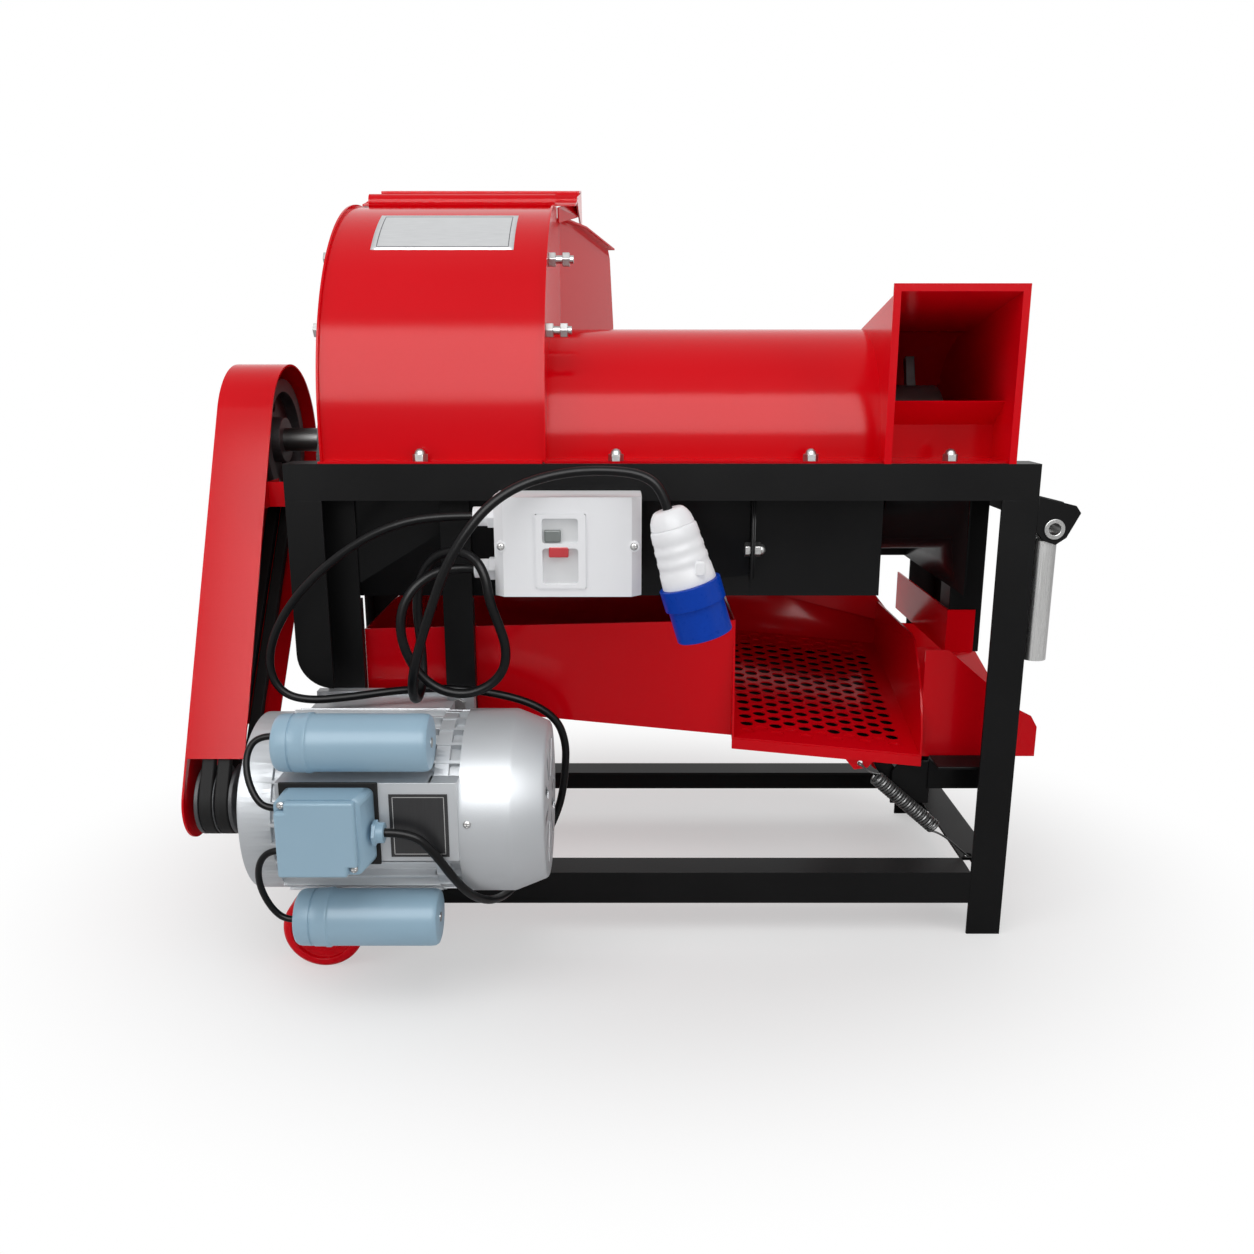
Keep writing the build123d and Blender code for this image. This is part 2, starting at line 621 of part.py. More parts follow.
trough_left = -frame_half + angle_leg + 1.5
thrower_trough = skirt(trough_left, plate_right[1])
thrower_trough += mirror_y(thrower_trough)
bowl = slab_x(half_ring(trough_r, trough_r - sheet, True), trough_left, plate_right[1])
bowl &= block(-400, 400, 0, frame_depth, 300, frame_top - angle_wall)
end_wall = block(trough_left, trough_left + sheet, skirt_y, frame_depth - skirt_y, skirt_foot, frame_top - angle_wall)
cob_wall = block(*plate_right, skirt_y, frame_depth - skirt_y, skirt_foot, frame_top - angle_wall)
cob_wall -= rod_x(cob_hole_r, plate_right[0] - 1, plate_right[1] + 1, shaft_y, shaft_z)
thrower_trough += bowl + end_wall + cob_wall
thrower_trough -= vertical_bolt_cuts(cover_bolt_x[0])
parts["thrower_trough"] = thrower_trough

joint_bolt_y, joint_bolt_z = 28.0, 408.0
joint_flange = (18.0, skirt_y, 380.0, 480.0)
middle = skirt(thrower_right, trough_joint_x)
middle += mirror_y(middle)
middle += block(trough_joint_x - sheet, trough_joint_x, *joint_flange)
middle -= rod_x(bolt_r + bolt_hole_gap, trough_joint_x - 9, trough_joint_x + 9, joint_bolt_y, joint_bolt_z)
middle -= vertical_bolt_cuts(cover_bolt_x[1])
parts["middle_trough"] = middle

feed = skirt(trough_joint_x, skirt_front_end)
feed += block(skirt_front_end, trough_end_x, cover_flange_y, skirt_y + sheet,
              frame_top - angle_wall - sheet, frame_top - angle_wall)
feed += mirror_y(skirt(trough_joint_x, trough_end_x))
feed += block(trough_joint_x, trough_joint_x + sheet, *joint_flange)
feed += slab_x(half_ring(trough_r, trough_r - sheet, True), skirt_front_end + 6, trough_end_x - sheet) & \
    block(0, 400, 0, frame_depth, 300, frame_top - angle_wall)
feed += block(trough_end_x - sheet, trough_end_x, skirt_y, frame_depth - skirt_y, skirt_foot, frame_top - angle_wall)
feed -= rod_x(bolt_r + bolt_hole_gap, trough_joint_x - 9, trough_joint_x + 9, joint_bolt_y, joint_bolt_z)
for x in cover_bolt_x[2:]:
    feed -= vertical_bolt_cuts(x)
parts["hopper_trough"] = feed


def concave():
    """The bar grid below the drum: round bars carried by half rings."""
    ribs = (thrower_right + 2, -6.0, 100.0, 212.0)
    grid = None
    for x in ribs:
        rib = slab_x(half_ring(concave_r + 8, concave_r, True), x, x + 6)
        rib &= block(-400, 400, 0, frame_depth, 300, 488)
        tab = block(x, x + 6, skirt_y + sheet, skirt_y + sheet + 11, 470, 488)
        rib += tab + mirror_y(tab)
        grid = rib if grid is None else grid + rib
    bars = 15
    for index in range(bars):
        angle = math.radians(196 + 148 * index / (bars - 1))
        y = shaft_y + (concave_r + 4) * math.cos(angle)
        z = shaft_z + (concave_r + 4) * math.sin(angle)
        grid += slab_x(Pos(y, z) * RegularPolygon(3.2, 8), ribs[0], ribs[-1] + 6)
    return grid


parts["concave"] = concave()

cover_bolts = []
stack = 2 * sheet + angle_wall
for x in cover_bolt_x:
    fastener = bolt((x, cover_bolt_y, frame_top - angle_wall - sheet), (0, 0, 1), stack)
    cover_bolts += [fastener, mirror_y(fastener)]
parts["cover_bolts"] = separate(*cover_bolts)

tie_bolts = []
for y, z in tie_bolt_at:
    tie = rod_x(bolt_r, thrower_left - 6, thrower_right + 25, y, z)
    for nut_x in (thrower_left - 7, thrower_right, thrower_right + 14):
        tie += slab_x(Pos(y, z) * hexagon(13), nut_x, nut_x + 7)
    tie_bolts.append(tie)
joint_bolt = bolt((trough_joint_x - sheet, joint_bolt_y, joint_bolt_z), (1, 0, 0), 2 * sheet)
guard_bolt = bolt((-frame_half - 3, guard_bolt_y, guard_bolt_z), (1, 0, 0), 3 + angle_wall, domed=False)
parts["tie_bolts"] = separate(*tie_bolts, joint_bolt, guard_bolt)


# Belt drive

def belt_shape(top_r, low_r):
    """The outline of a belt round both pulleys, drawn in Y and Z."""
    top, low = Pos(shaft_y, shaft_z) * Circle(top_r), Pos(motor_y, motor_z) * Circle(low_r)
    return make_hull(top.edges() + low.edges())


belts = []
for x in belt_x:
    band = belt_shape(driven_pulley_r, motor_pulley_r) - belt_shape(driven_pulley_r - 8, motor_pulley_r - 8)
    belts.append(slab_x(band, x - belt_width / 2, x + belt_width / 2))
parts["v_belts"] = separate(*belts)


def pulley(radius, hub_r, bore, y, z, spokes):
    """A two-groove pulley, webbed or spoked, with a long hub."""
    wheel = rod_x(radius, pulley_left, pulley_right, y, z)
    for x in belt_x:
        groove = rod_x(radius + 5, x - groove_width / 2, x + groove_width / 2, y, z)
        groove -= rod_x(radius - groove_depth, x - 20, x + 20, y, z)
        wheel -= groove
    if spokes:
        rim_r = radius - groove_depth - 5
        for x0, x1 in ((pulley_left - 1, pulley_left + 12), (pulley_right - 12, pulley_right + 1)):
            wheel -= rod_x(rim_r, x0, x1, y, z) - rod_x(hub_r, x0 - 1, x1 + 1, y, z)
        for index in range(spokes):
            window = Pos((pulley_left + pulley_right) / 2, y, z) * Rot(360 * index / spokes, 0, 0)
            wheel -= window * Pos(0, 0, (rim_r + hub_r) / 2) * Rot(0, 90, 0) * Cylinder(8, 20)
    return wheel - rod_x(bore + bore_gap, pulley_left - 1, pulley_right + 1, y, z)


parts["driven_pulley"] = pulley(driven_pulley_r, 24, shaft_r, shaft_y, shaft_z, 5)
parts["motor_pulley"] = pulley(motor_pulley_r, 20, motor_shaft_r, motor_y, motor_z, 0)


def belt_guard():
    """A channel-shaped guard, open to the machine, with its outer plate reaching round the motor pulley."""
    outer = belt_shape(guard_top_r, guard_low_r)
    inner = belt_shape(guard_top_r - sheet, guard_low_r - sheet)
    plate = slab_x(outer, guard_left, guard_left + sheet)
    rim = slab_x(outer - inner, guard_left, guard_right) & block(-500, -300, -150, 300, guard_rim_foot, 700)
    bracket = block(guard_right - sheet, guard_right, 30, 92, 447, 472) & slab_x(outer, guard_left, guard_right)
    bracket += block(guard_right - sheet, -frame_half - 3, 57, 60, 447, 472)
    bracket += block(-frame_half - 3, -frame_half, 57, 92, 447, 472)
    bracket -= rod_x(bolt_r + bolt_hole_gap, -frame_half - 9, -frame_half + 9, guard_bolt_y, guard_bolt_z)
    return plate + rim + bracket


parts["belt_guard"] = belt_guard()


# Motor

def at_motor(radius, x0, x1):
    return rod_x(radius, x0, x1, motor_y, motor_z)


def motor_body():
    """The finned motor with its end shield, foot bars and open shaft bore."""
    body = at_motor(motor_core_r, motor_shield_right, fan_cover_left + 6)
    body += at_motor(motor_r - 3, motor_shield_left + 14, motor_shield_right)
    body += at_motor(62, motor_shield_left + 5, motor_shield_left + 14)
    body += at_motor(30, motor_shield_left, motor_shield_left + 5)
    body += at_motor(motor_r - sheet - 0.3, fan_cover_left - 7, fan_cover_left + 6)
    for index in range(fin_count):
        fin = block(motor_shield_right, fan_cover_left - 7, -fin_width / 2, fin_width / 2, motor_core_r - 3, motor_r)
        body += Pos(0, motor_y, motor_z) * Rot(360 * (index + 0.5) / fin_count, 0, 0) * fin
    for side in (-1, 1):
        z = motor_z + side * foot_half_pitch
        body += block(*foot_bar_x, upright_front - 12, upright_front, z - foot_half_height, z + foot_half_height)
        body += block(foot_bar_x[0] + 6, fan_cover_left - 7, motor_y + 28, upright_front - 12, z - 10, z + 10)
        for x in foot_bolt_x:
            body -= rod_y(bolt_r + bolt_hole_gap, upright_front - 20, upright_front + 5, x, z)
            body -= block(x - 10, x + 10, upright_front - 30, upright_front - 12, z - 10, z + 10)
    body += block(terminal_x[0] - 8, fan_cover_left - 7, pad_front, motor_y - 60, *pad_z)
    return body - at_motor(motor_shaft_r + bore_gap, motor_shield_left - 5, fan_cover_left + 20)


parts["motor_body"] = motor_body()


def fan_cover():
    """The pressed cover over the cooling fan, with a ring of air slots."""
    profile = outline((fan_cover_left, 0), (fan_cover_left, motor_r), (fan_cover_chamfer, motor_r),
                      (fan_cover_right, fan_cover_end_r), (fan_cover_right, 0))
    hollow = outline((fan_cover_left - 1, 0), (fan_cover_left - 1, motor_r - sheet),
                     (fan_cover_chamfer - 1, motor_r - sheet), (fan_cover_right - sheet, fan_cover_end_r - sheet),
                     (fan_cover_right - sheet, 0))
    shell = revolve(Plane.XY * (profile - hollow), Axis.X)
    for index in range(12):
        slot = Pos(fan_cover_right - 1, 0, 0) * Rot(30 * index, 0, 0) * Pos(0, 0, 40) * Box(10, 8, 36)
        shell -= slot
    return Pos(0, motor_y, motor_z) * shell


parts["fan_cover"] = fan_cover()
parts["motor_shaft"] = at_motor(motor_shaft_r, pulley_left - 3, fan_cover_left + 46)
fan = at_motor(24, fan_cover_left + 16, fan_cover_left + 42)
for index in range(7):
    blade = Box(24, 3, 44, align=(Align.MIN, Align.CENTER, Align.MIN))
    fan += Pos(fan_cover_left + 17, motor_y, motor_z) * Rot(360 * index / 7, 0, 0) * Pos(0, 0, 20) * blade
parts["cooling_fan"] = fan - at_motor(motor_shaft_r + bore_gap, fan_cover_left + 10, fan_cover_left + 50)

motor_bolts = []
for x in foot_bolt_x:
    for side in (-1, 1):
        z = motor_z + side * foot_half_pitch
        motor_bolts.append(bolt((x, upright_front - 12, z), (0, 1, 0), 12 + angle_wall, domed=False))
parts["motor_bolts"] = separate(*motor_bolts)

capacitors = []
for (x0, x1), side in zip(capacitor_x, (1, -1)):
    z = motor_z + side * capacitor_rise
    can = rod_x(capacitor_r, x0 + 16, x1 - 3, capacitor_y, z)
    can += rod_x(capacitor_r - 2, x1 - 3, x1, capacitor_y, z)
    can += rod_x(capacitor_r - 1, x0 + 1.5, x0 + 16, capacitor_y, z)
    capacitors.append(can + rod_x(capacitor_r - 3, x0, x0 + 1.5, capacitor_y, z))
parts["capacitors"] = separate(*capacitors)

foot = Plane((0, pad_front, 0), x_dir=(1, 0, 0), z_dir=(0, -1, 0))
middle_x, middle_z = sum(terminal_x) / 2, sum(terminal_z) / 2
width, height = terminal_x[1] - terminal_x[0], terminal_z[1] - terminal_z[0]
wide_end = foot * Pos(middle_x, middle_z) * RectangleRounded(width, height, 6)
narrow_end = foot.offset(pad_front - terminal_front) * Pos(middle_x - 3, middle_z) * RectangleRounded(width - 6, height, 6)
parts["terminal_box"] = loft(Sketch() + [wide_end, narrow_end])
lid_x = (terminal_x[0] + 1.5, terminal_x[0] + 1.5 + lid_side)
lid = block(*lid_x, terminal_front - lid_depth, terminal_front, terminal_z[0] + 0.5, terminal_z[0] + 0.5 + lid_side)
parts["terminal_lid"] = chamfer(lid.edges().group_by(Axis.Y)[0], 1.5)


# Shaker tray

def sloped_x(face, x0, x1):
    """A face drawn in Y and Z at the tray's left end, carried down the tray's fall."""
    drop = (x0 - tray_left) * tray_fall
    placed = Plane((x0, 0, -drop), x_dir=(0, 1, 0), z_dir=(1, 0, 0)) * face
    along = Vector(1, 0, -tray_fall)
    return extrude(placed, (x1 - x0) * along.length, dir=along.normalized())


def floor_z(x, y):
    """The height of the tray floor's underside."""
    return tray_floor_z - (x - tray_left) * tray_fall + (y - tray_front) * tray_rise


def strip(y0, y1, thick, z_offset=0.0):
    """A strip of the tray's floor, drawn in Y and Z at the left end."""
    low = floor_z(tray_left, y0) + z_offset
    high = floor_z(tray_left, y1) + z_offset
    return outline((y0, low), (y1, high), (y1, high + thick), (y0, low + thick))


def tray_top(x):
    share = (x - tray_left) / (spout_left - tray_left)
    return tray_top_left + share * (tray_top_right - tray_top_left)


def shaker_tray():
    """The folded tray: closed on the left, an open spout in the middle and an outlet lip on the right."""
    y0, y1 = tray_front, tray_rear
    end_top = 298.0
    front_wall = outline((tray_left, floor_z(tray_left, y0)), (spout_left, floor_z(spout_left, y0)),
                         (spout_left, tray_top_right), (tray_left, tray_top_left))
    rear_wall = outline((tray_left, floor_z(tray_left, y1)), (spout_right, floor_z(spout_right, y1)),
                        (spout_right, 278), (spout_left, tray_top_right), (tray_left, tray_top_left))
    tray = slab_y(front_wall, y0, y0 + sheet) + slab_y(rear_wall, y1 - sheet, y1)
    tray += slab_x(outline((y0, floor_z(tray_left, y0)), (y1, floor_z(tray_left, y1)), (y1, tray_top_left),
                           (y0, tray_top_left)), tray_left, tray_left + sheet)
    tray += sloped_x(strip(y0, y1, sheet), tray_left, spout_left + 2)
    low_left = floor_z(spout_left, spout_front)
    cheek_left = outline((spout_front, low_left), (spout_front, low_left + 28), (spout_front + 4, 262),
                         (y0 + 1, tray_top_right), (y1, tray_top_right), (y1, floor_z(spout_left, y1)))
    low_right = floor_z(spout_right, spout_front)
    nose = [(spout_front, low_right), (spout_front, low_right + 24), (spout_front + 6, 232), (spout_front + 17, 257),
            (spout_front + 31, 277), (spout_front + 50, end_top), (y1, end_top - 20), (y1, floor_z(spout_right, y1))]
    tray += slab_x(cheek_left, spout_left, spout_left + sheet)
    tray += slab_x(outline(*nose), spout_right - sheet, spout_right)
    ledge = strip(spout_front, y1 - sheet, sheet) - strip(spout_front + ledge_width, y1 - ledge_width, sheet)
    tray += sloped_x(ledge, spout_left, spout_right)
    for x0 in (spout_left + sheet, spout_right - sheet - 8):
        tray += sloped_x(strip(spout_front, y1 - sheet, sheet), x0, x0 + 8)
    lip_depth = 9.0
    tray += sloped_x(strip(spout_front, spout_front + sheet, lip_depth, -lip_depth), spout_left, spout_right)
    end_front = outline((spout_right, tray_end_floor), (spout_right, end_top), (spout_right + 24, end_top),
                        (tray_right - 23, 234), (tray_right - 7, 226), (tray_right, 214), (tray_right, tray_end_floor))
    tray += slab_y(end_front, y0, y0 + sheet)
    rise = (y1 - y0) * tray_rise
    end_rear = outline((spout_right, tray_end_floor + rise), (spout_right, 276), (spout_right + 52, 272), (tray_right, 254),
                       (tray_right, tray_end_floor + rise))
    tray += slab_y(end_rear, y1 - sheet, y1)
    end_floor = outline((y0, tray_end_floor), (y1, tray_end_floor + rise), (y1, tray_end_floor + rise + sheet),
                        (y0, tray_end_floor + sheet))
    tray += slab_x(end_floor, spout_right - sheet, tray_right)
    for pivot_x, pivot_z in rocker_pivots.values():
        x, z = pivot_x + rocker_x, pivot_z + rocker_z
        for ear_y in (rocker_front + rocker_thick + 2, frame_depth - rocker_front - rocker_thick - 5):
            top = floor_z(x, ear_y) + 1
            ear = outline((x - 11, z), (x - 24, top + 24 * tray_fall), (x + 24, top - 24 * tray_fall), (x + 11, z))
            plate = slab_y(ear, ear_y, ear_y + 3) + rod_y(11, ear_y, ear_y + 3, x, z)
            tray += plate - rod_y(rocker_pin_r + ear_hole_gap, ear_y - 1, ear_y + 4, x, z)
    lug_x, lug_z = spring_lug
    for lug_y in (spring_lug_y, frame_depth - spring_lug_y - 3):
        top = floor_z(lug_x, lug_y) + 1
        lug = outline((lug_x - 6, lug_z - 7), (lug_x - 26, top + 26 * tray_fall), (lug_x + 22, top - 22 * tray_fall),
                      (lug_x + 8, lug_z - 5))
        tray += slab_y(lug, lug_y, lug_y + 3)
        tray -= rod_y(3, lug_y - 1, lug_y + 4, lug_x, lug_z)
    return tray


parts["shaker_tray"] = shaker_tray()


def tray_screen():
    """The perforated sheet of the spout, in staggered rows."""
    x0, x1 = spout_left + sheet, spout_right - sheet
    y0, y1 = spout_front, tray_rear - sheet
    screen = sloped_x(strip(y0, y1, 1.5, sheet), x0, x1)
    pitch_x = (x1 - x0 - 24) / screen_columns
    pitch_y = (y1 - y0 - 24) / screen_rows
    holes = []
    for row in range(screen_rows):
        for column in range(screen_columns):
            x = x0 + 12 + (column + 0.25 + 0.5 * (row % 2)) * pitch_x
            y = y0 + 12 + (row + 0.5) * pitch_y
            holes.append(Pos(x, y) * RegularPolygon(screen_hole_r, 6))
    return screen - slab_z(Sketch() + holes, 150, 330)


parts["tray_screen"] = tray_screen()


def rocker(name):
    """Two arms joined by a cross shaft, which carry one end of the tray."""
    px, pz = rocker_pivots[name]
    x, z = px + rocker_x, pz + rocker_z
    ends = (Pos(px, pz) * Circle(rocker_end_r + 2)).edges() + (Pos(x, z) * Circle(rocker_end_r)).edges()
    arm = slab_y(make_hull(ends), rocker_front, rocker_front + rocker_thick)
    arm -= rod_y(rocker_pin_r + bore_gap, 0, 80, px, pz)
    return arm + mirror_y(arm) + rod_y(rocker_pin_r, rocker_front, frame_depth - rocker_front, x, z)


parts["left_rocker"] = rocker("left")
parts["right_rocker"] = rocker("right")


def pivot_plate(name):
    """The fixed plate and pin of a front rocker."""
    px, pz = rocker_pivots[name]
    face = outline((px - 12, pz - 12), (px + 29, pz - 12), (px + 29, pz + 36), (px - 4, pz + 36), (px - 12, pz + 24))
    plate = slab_y(face, pivot_plate_y, pivot_plate_y + 3)
    return plate + rod_y(rocker_pin_r, pivot_plate_y + 3, rocker_front + rocker_thick, px, pz)


stub_z = (146.0, 183.0)
stub_y = pivot_plate_y - angle_wall
stub_left = frame_half - 73.5
stub = block(stub_left, frame_half - angle_wall, stub_y, pivot_plate_y, *stub_z)
stub += block(stub_left, frame_half - angle_wall, pivot_plate_y - angle_leg, stub_y,
              stub_z[1] - angle_wall, stub_z[1])
right_bracket = stub + pivot_plate("right")
left_px, left_pz = rocker_pivots["left"]
plate_y = (pivot_plate_y, pivot_plate_y + 3)
left_bracket = pivot_plate("left") + block(upright_left[1] - 3, left_px, *plate_y, left_pz - 12, left_pz + 14)
left_bracket += block(upright_left[1], upright_left[1] + 3, upright_front, plate_y[1], left_pz - 12, left_pz + 14)
left_rear = pivot_plate("left") + block(-frame_half + angle_wall, left_px, *plate_y, left_pz - 12, left_pz + 14)
left_rear = mirror_y(left_rear)
left_rear += mirror_y(block(-frame_half + angle_wall, -stub_left, 9, pivot_plate_y, left_pz + 11, left_pz + 14))
parts["rocker_brackets"] = separate(right_bracket, mirror_y(right_bracket), left_bracket, left_rear)


def tray_spring():
    """A close-wound tension spring with a hook at each end."""
    lug_x, lug_z = spring_lug
    start = Vector(lug_x, spring_lug_y - 4, lug_z)
    hole = Vector(spring_hook_x, spring_hook_y, lower_rail_top - angle_wall / 2)
    along = (hole - start).normalized()
    end = hole + along * 6
    middle = start + along * 66
    coil_start = middle - along * spring_length / 2
    coil_end = middle + along * spring_length / 2
    coil = rod(spring_r, tuple(coil_start), tuple(coil_end))
    coil -= rod(spring_r - 2 * spring_wire_r, tuple(coil_start - along), tuple(coil_end + along))
    for seat in (coil_start, coil_end):
        plug_end = seat + along * (2 if seat is coil_start else -2)
        coil += rod(spring_r - 1, tuple(seat), tuple(plug_end))
    wires = rod(spring_wire_r, tuple(start), tuple(coil_start + along))
    wires += rod(spring_wire_r, tuple(coil_end - along), tuple(end))
    hook = rod_y(spring_wire_r, spring_lug_y - 5, spring_lug_y + 7, lug_x, lug_z)
    return coil + wires + hook


spring = tray_spring()
parts["tray_springs"] = separate(spring, mirror_y(spring))


# Wheels and handles

def wheel():
    """A solid wheel with a rim, a dished web and a hub."""
    y0, y1 = -wheel_gap - wheel_width, -wheel_gap
    centre = (wheel_x, wheel_r)
    body = rod_y(wheel_r, y0 + 3, y1 - 3, *centre) + rod_y(wheel_r - 3, y0, y1, *centre)
    for face_y in (y0 - 1, y1 - 5):
        dish = rod_y(31, face_y, face_y + 6, *centre) - rod_y(12, face_y - 1, face_y + 7, *centre)
        body -= dish
    return body - rod_y(axle_r + bore_gap, y0 - 1, y1 + 1, *centre)


front_wheel = wheel()
parts["front_wheel"] = front_wheel
parts["rear_wheel"] = mirror_y(front_wheel)
wheel_front = -wheel_gap - wheel_width
axle = rod_y(axle_r, wheel_front - 4, 14, wheel_x, wheel_r) + rod_y(11, -wheel_gap + 0.3, 0, wheel_x, wheel_r)
axle += rod_y(10, wheel_front - 4, wheel_front - 0.3, wheel_x, wheel_r)
axle += extrude(Plane((wheel_x, angle_wall, wheel_r), z_dir=(0, 1, 0)) * hexagon(18), 9)
parts["wheel_axles"] = separate(axle, mirror_y(axle))


def handle():
    """A tube that hangs from a tongue and folds up to a barrow handle."""
    tube = rod(handle_tube_r, (handle_x, handle_y, handle_foot), (handle_x, handle_y, handle_top))
    tube -= rod(handle_tube_r - 1.5, (handle_x, handle_y, handle_foot - 1), (handle_x, handle_y, handle_top - 3))
    tongue = outline((handle_pivot_x - 11, handle_pivot_z), (handle_pivot_x - 11, handle_top - 2),
                     (handle_pivot_x + 9, handle_top - 2), (handle_pivot_x + 11, handle_pivot_z))
    tube += slab_y(tongue, handle_y - 3, handle_y + 3)
    tube += rod_y(11.5, handle_y - 3, handle_y + 3, handle_pivot_x, handle_pivot_z)
    return tube - rod_y(handle_pin_r + bore_gap, handle_y - 5, handle_y + 5, handle_pivot_x, handle_pivot_z)


def handle_bracket():
    """The clevis that carries a handle on the outside of a leg."""
    x0 = frame_half
    reach = x0 + handle_bracket_reach
    cheek = outline((x0, 464), (reach - 5, 455), (reach, 448), (reach - 12, 424), (x0 + 20, 417), (x0 + 8, 421),
                    (x0, 430))
    result = slab_y(cheek, 0, 3) + slab_y(cheek, angle_leg - 3, angle_leg) + block(x0, x0 + 3, 0, angle_leg, 430, 462)
    return result - rod_y(handle_pin_r + bore_gap, -1, angle_leg + 1, handle_pivot_x, handle_pivot_z)


front_handle = handle()
parts["front_handle"] = front_handle
parts["rear_handle"] = mirror_y(front_handle)
clevis = handle_bracket()
parts["handle_brackets"] = separate(clevis, mirror_y(clevis))
rivet = rod_y(handle_pin_r, -1.5, angle_leg + 1.5, handle_pivot_x, handle_pivot_z)
for y0 in (-1.5, angle_leg):
    rivet += rod_y(handle_pin_r + 2, y0, y0 + 1.5, handle_pivot_x, handle_pivot_z)
rivet -= rod_y(handle_pin_bore, -3, angle_leg + 3, handle_pivot_x, handle_pivot_z)
parts["handle_pins"] = separate(rivet, mirror_y(rivet))


# Switch box, plug and cords

back_shell = block(box_left, box_right, box_joint_y, 0, box_foot, box_top)
back_shell += block(box_left + 8, box_right - 8, 0, angle_wall, box_foot + 8, frame_top - angle_leg)
parts["switch_box"] = back_shell
lid_shell = block(box_left, box_right, -box_depth, box_joint_y, box_foot, box_top)
lid_shell = chamfer(lid_shell.edges().filter_by(Axis.Z).group_by(Axis.Y)[0], 9)
start_x, start_z = start_button_at
stop_x, stop_z = stop_button_at
window_x, window_z = (-117.0, -71.0), (386.0, 455.0)
lid_shell -= block(*window_x, -box_depth - 1, -box_depth + 4, *window_z)


def button(x, z, width, height, rise):
    return block(x - width / 2, x + width / 2, -box_depth + 4 - rise, -box_depth + button_depth,
                 z - height / 2, z + height / 2)


for x, z, width, height in ((start_x, start_z, 15, 11), (stop_x, stop_z, 18, 10)):
    lid_shell -= block(x - width / 2 - button_gap, x + width / 2 + button_gap,
                       -box_depth, -box_depth + button_depth + button_travel + 3,
                       z - height / 2 - button_gap, z + height / 2 + button_gap)
parts["switch_lid"] = lid_shell
parts["start_button"] = button(start_x, start_z, 15, 11, 4)
parts["stop_button"] = button(stop_x, stop_z, 18, 10, 6)


def gland_x(start_x, length, y, z):
    """A cable gland along X: a hexagon nut and a round cap, where the cord's end meets it."""
    seam = start_x + length * 0.35
    nut = slab_x(Pos(y, z) * hexagon(2 * gland_r + 2), min(start_x, seam), max(start_x, seam))
    return nut + rod_x(gland_r, seam, start_x + length, y, z)


glands = [gland_x(box_left, -box_gland_length, *place) for place in (power_gland, motor_gland)]
terminal_gland = gland_x(terminal_x[1], terminal_gland_length, *motor_route[-1][1:])
parts["cable_glands"] = separate(*glands, terminal_gland)


def plug_parts():
    """The plug: a ribbed handle and a collar, on one axis."""
    start, end = Vector(*plug_top), Vector(*plug_foot)
    axis = end - start
    plane = Plane(origin=start, x_dir=(0, 1, 0), z_dir=axis)
    split = axis.length * plug_body_share
    body = extrude(plane * Circle(15), 14) + extrude(plane.offset(14) * Circle(20.5), split - 14)
    for index in range(3):
        body += extrude(plane.offset(20 + index * 11) * Circle(23), 6)
    body += extrude(plane.offset(split - 12) * Circle(25), 12)
    collar = extrude(plane.offset(split) * Circle(28.5), 20)
    collar += extrude(plane.offset(split + 20) * Circle(26), axis.length - split - 20)
    collar -= extrude(plane.offset(split + 14) * Circle(23), axis.length)
    for index in range(3):
        pin = plane.offset(split + 13) * Pos(*Vector(13, 0, 0).rotate(Axis.Z, 120 * index)) * Circle(3)
        collar += extrude(pin, axis.length - split - 22)
    return body, collar


parts["plug_body"], parts["plug_collar"] = plug_parts()


def cord(points, radius, name):
    """A tube of straight runs joined by arcs as large as the runs allow."""
    corners = [Vector(*point) for point in points]
    runs = [end - start for start, end in zip(corners, corners[1:])]
    radii = []
    for before, after in zip(runs, runs[1:]):
        turn = math.radians(before.get_angle(after))
        radii.append(0.45 * min(before.length, after.length) / math.tan(turn / 2))
    print(name, "smallest radius", round(min(radii), 1), "longest run", round(max(run.length for run in runs)))
    path = FilletPolyline(*corners, radius=radii)
    tube = sweep(Plane(origin=corners[0], z_dir=runs[0]) * Circle(radius), path=path)
    print(name, "volume against section times length", round(tube.volume / (math.pi * radius ** 2 * path.length), 4))
    return tube


parts["power_cord"] = cord(power_route, cord_r, "power cord")
parts["motor_lead"] = cord(motor_route, lead_r, "motor lead")
parts["capacitor_leads"] = separate(*[cord(route, capacitor_lead_r, "capacitor lead") for route in capacitor_routes])

os.makedirs("parts", exist_ok=True)
for name, shape in parts.items():
    export_step(Pos(-origin_x, -origin_y, 0) * shape, f"parts/{name}.step")
print(len(parts), "nodes, origin at", origin_x, origin_y)
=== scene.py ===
import json
import math

import bmesh
import bpy
from mathutils import Matrix, Vector


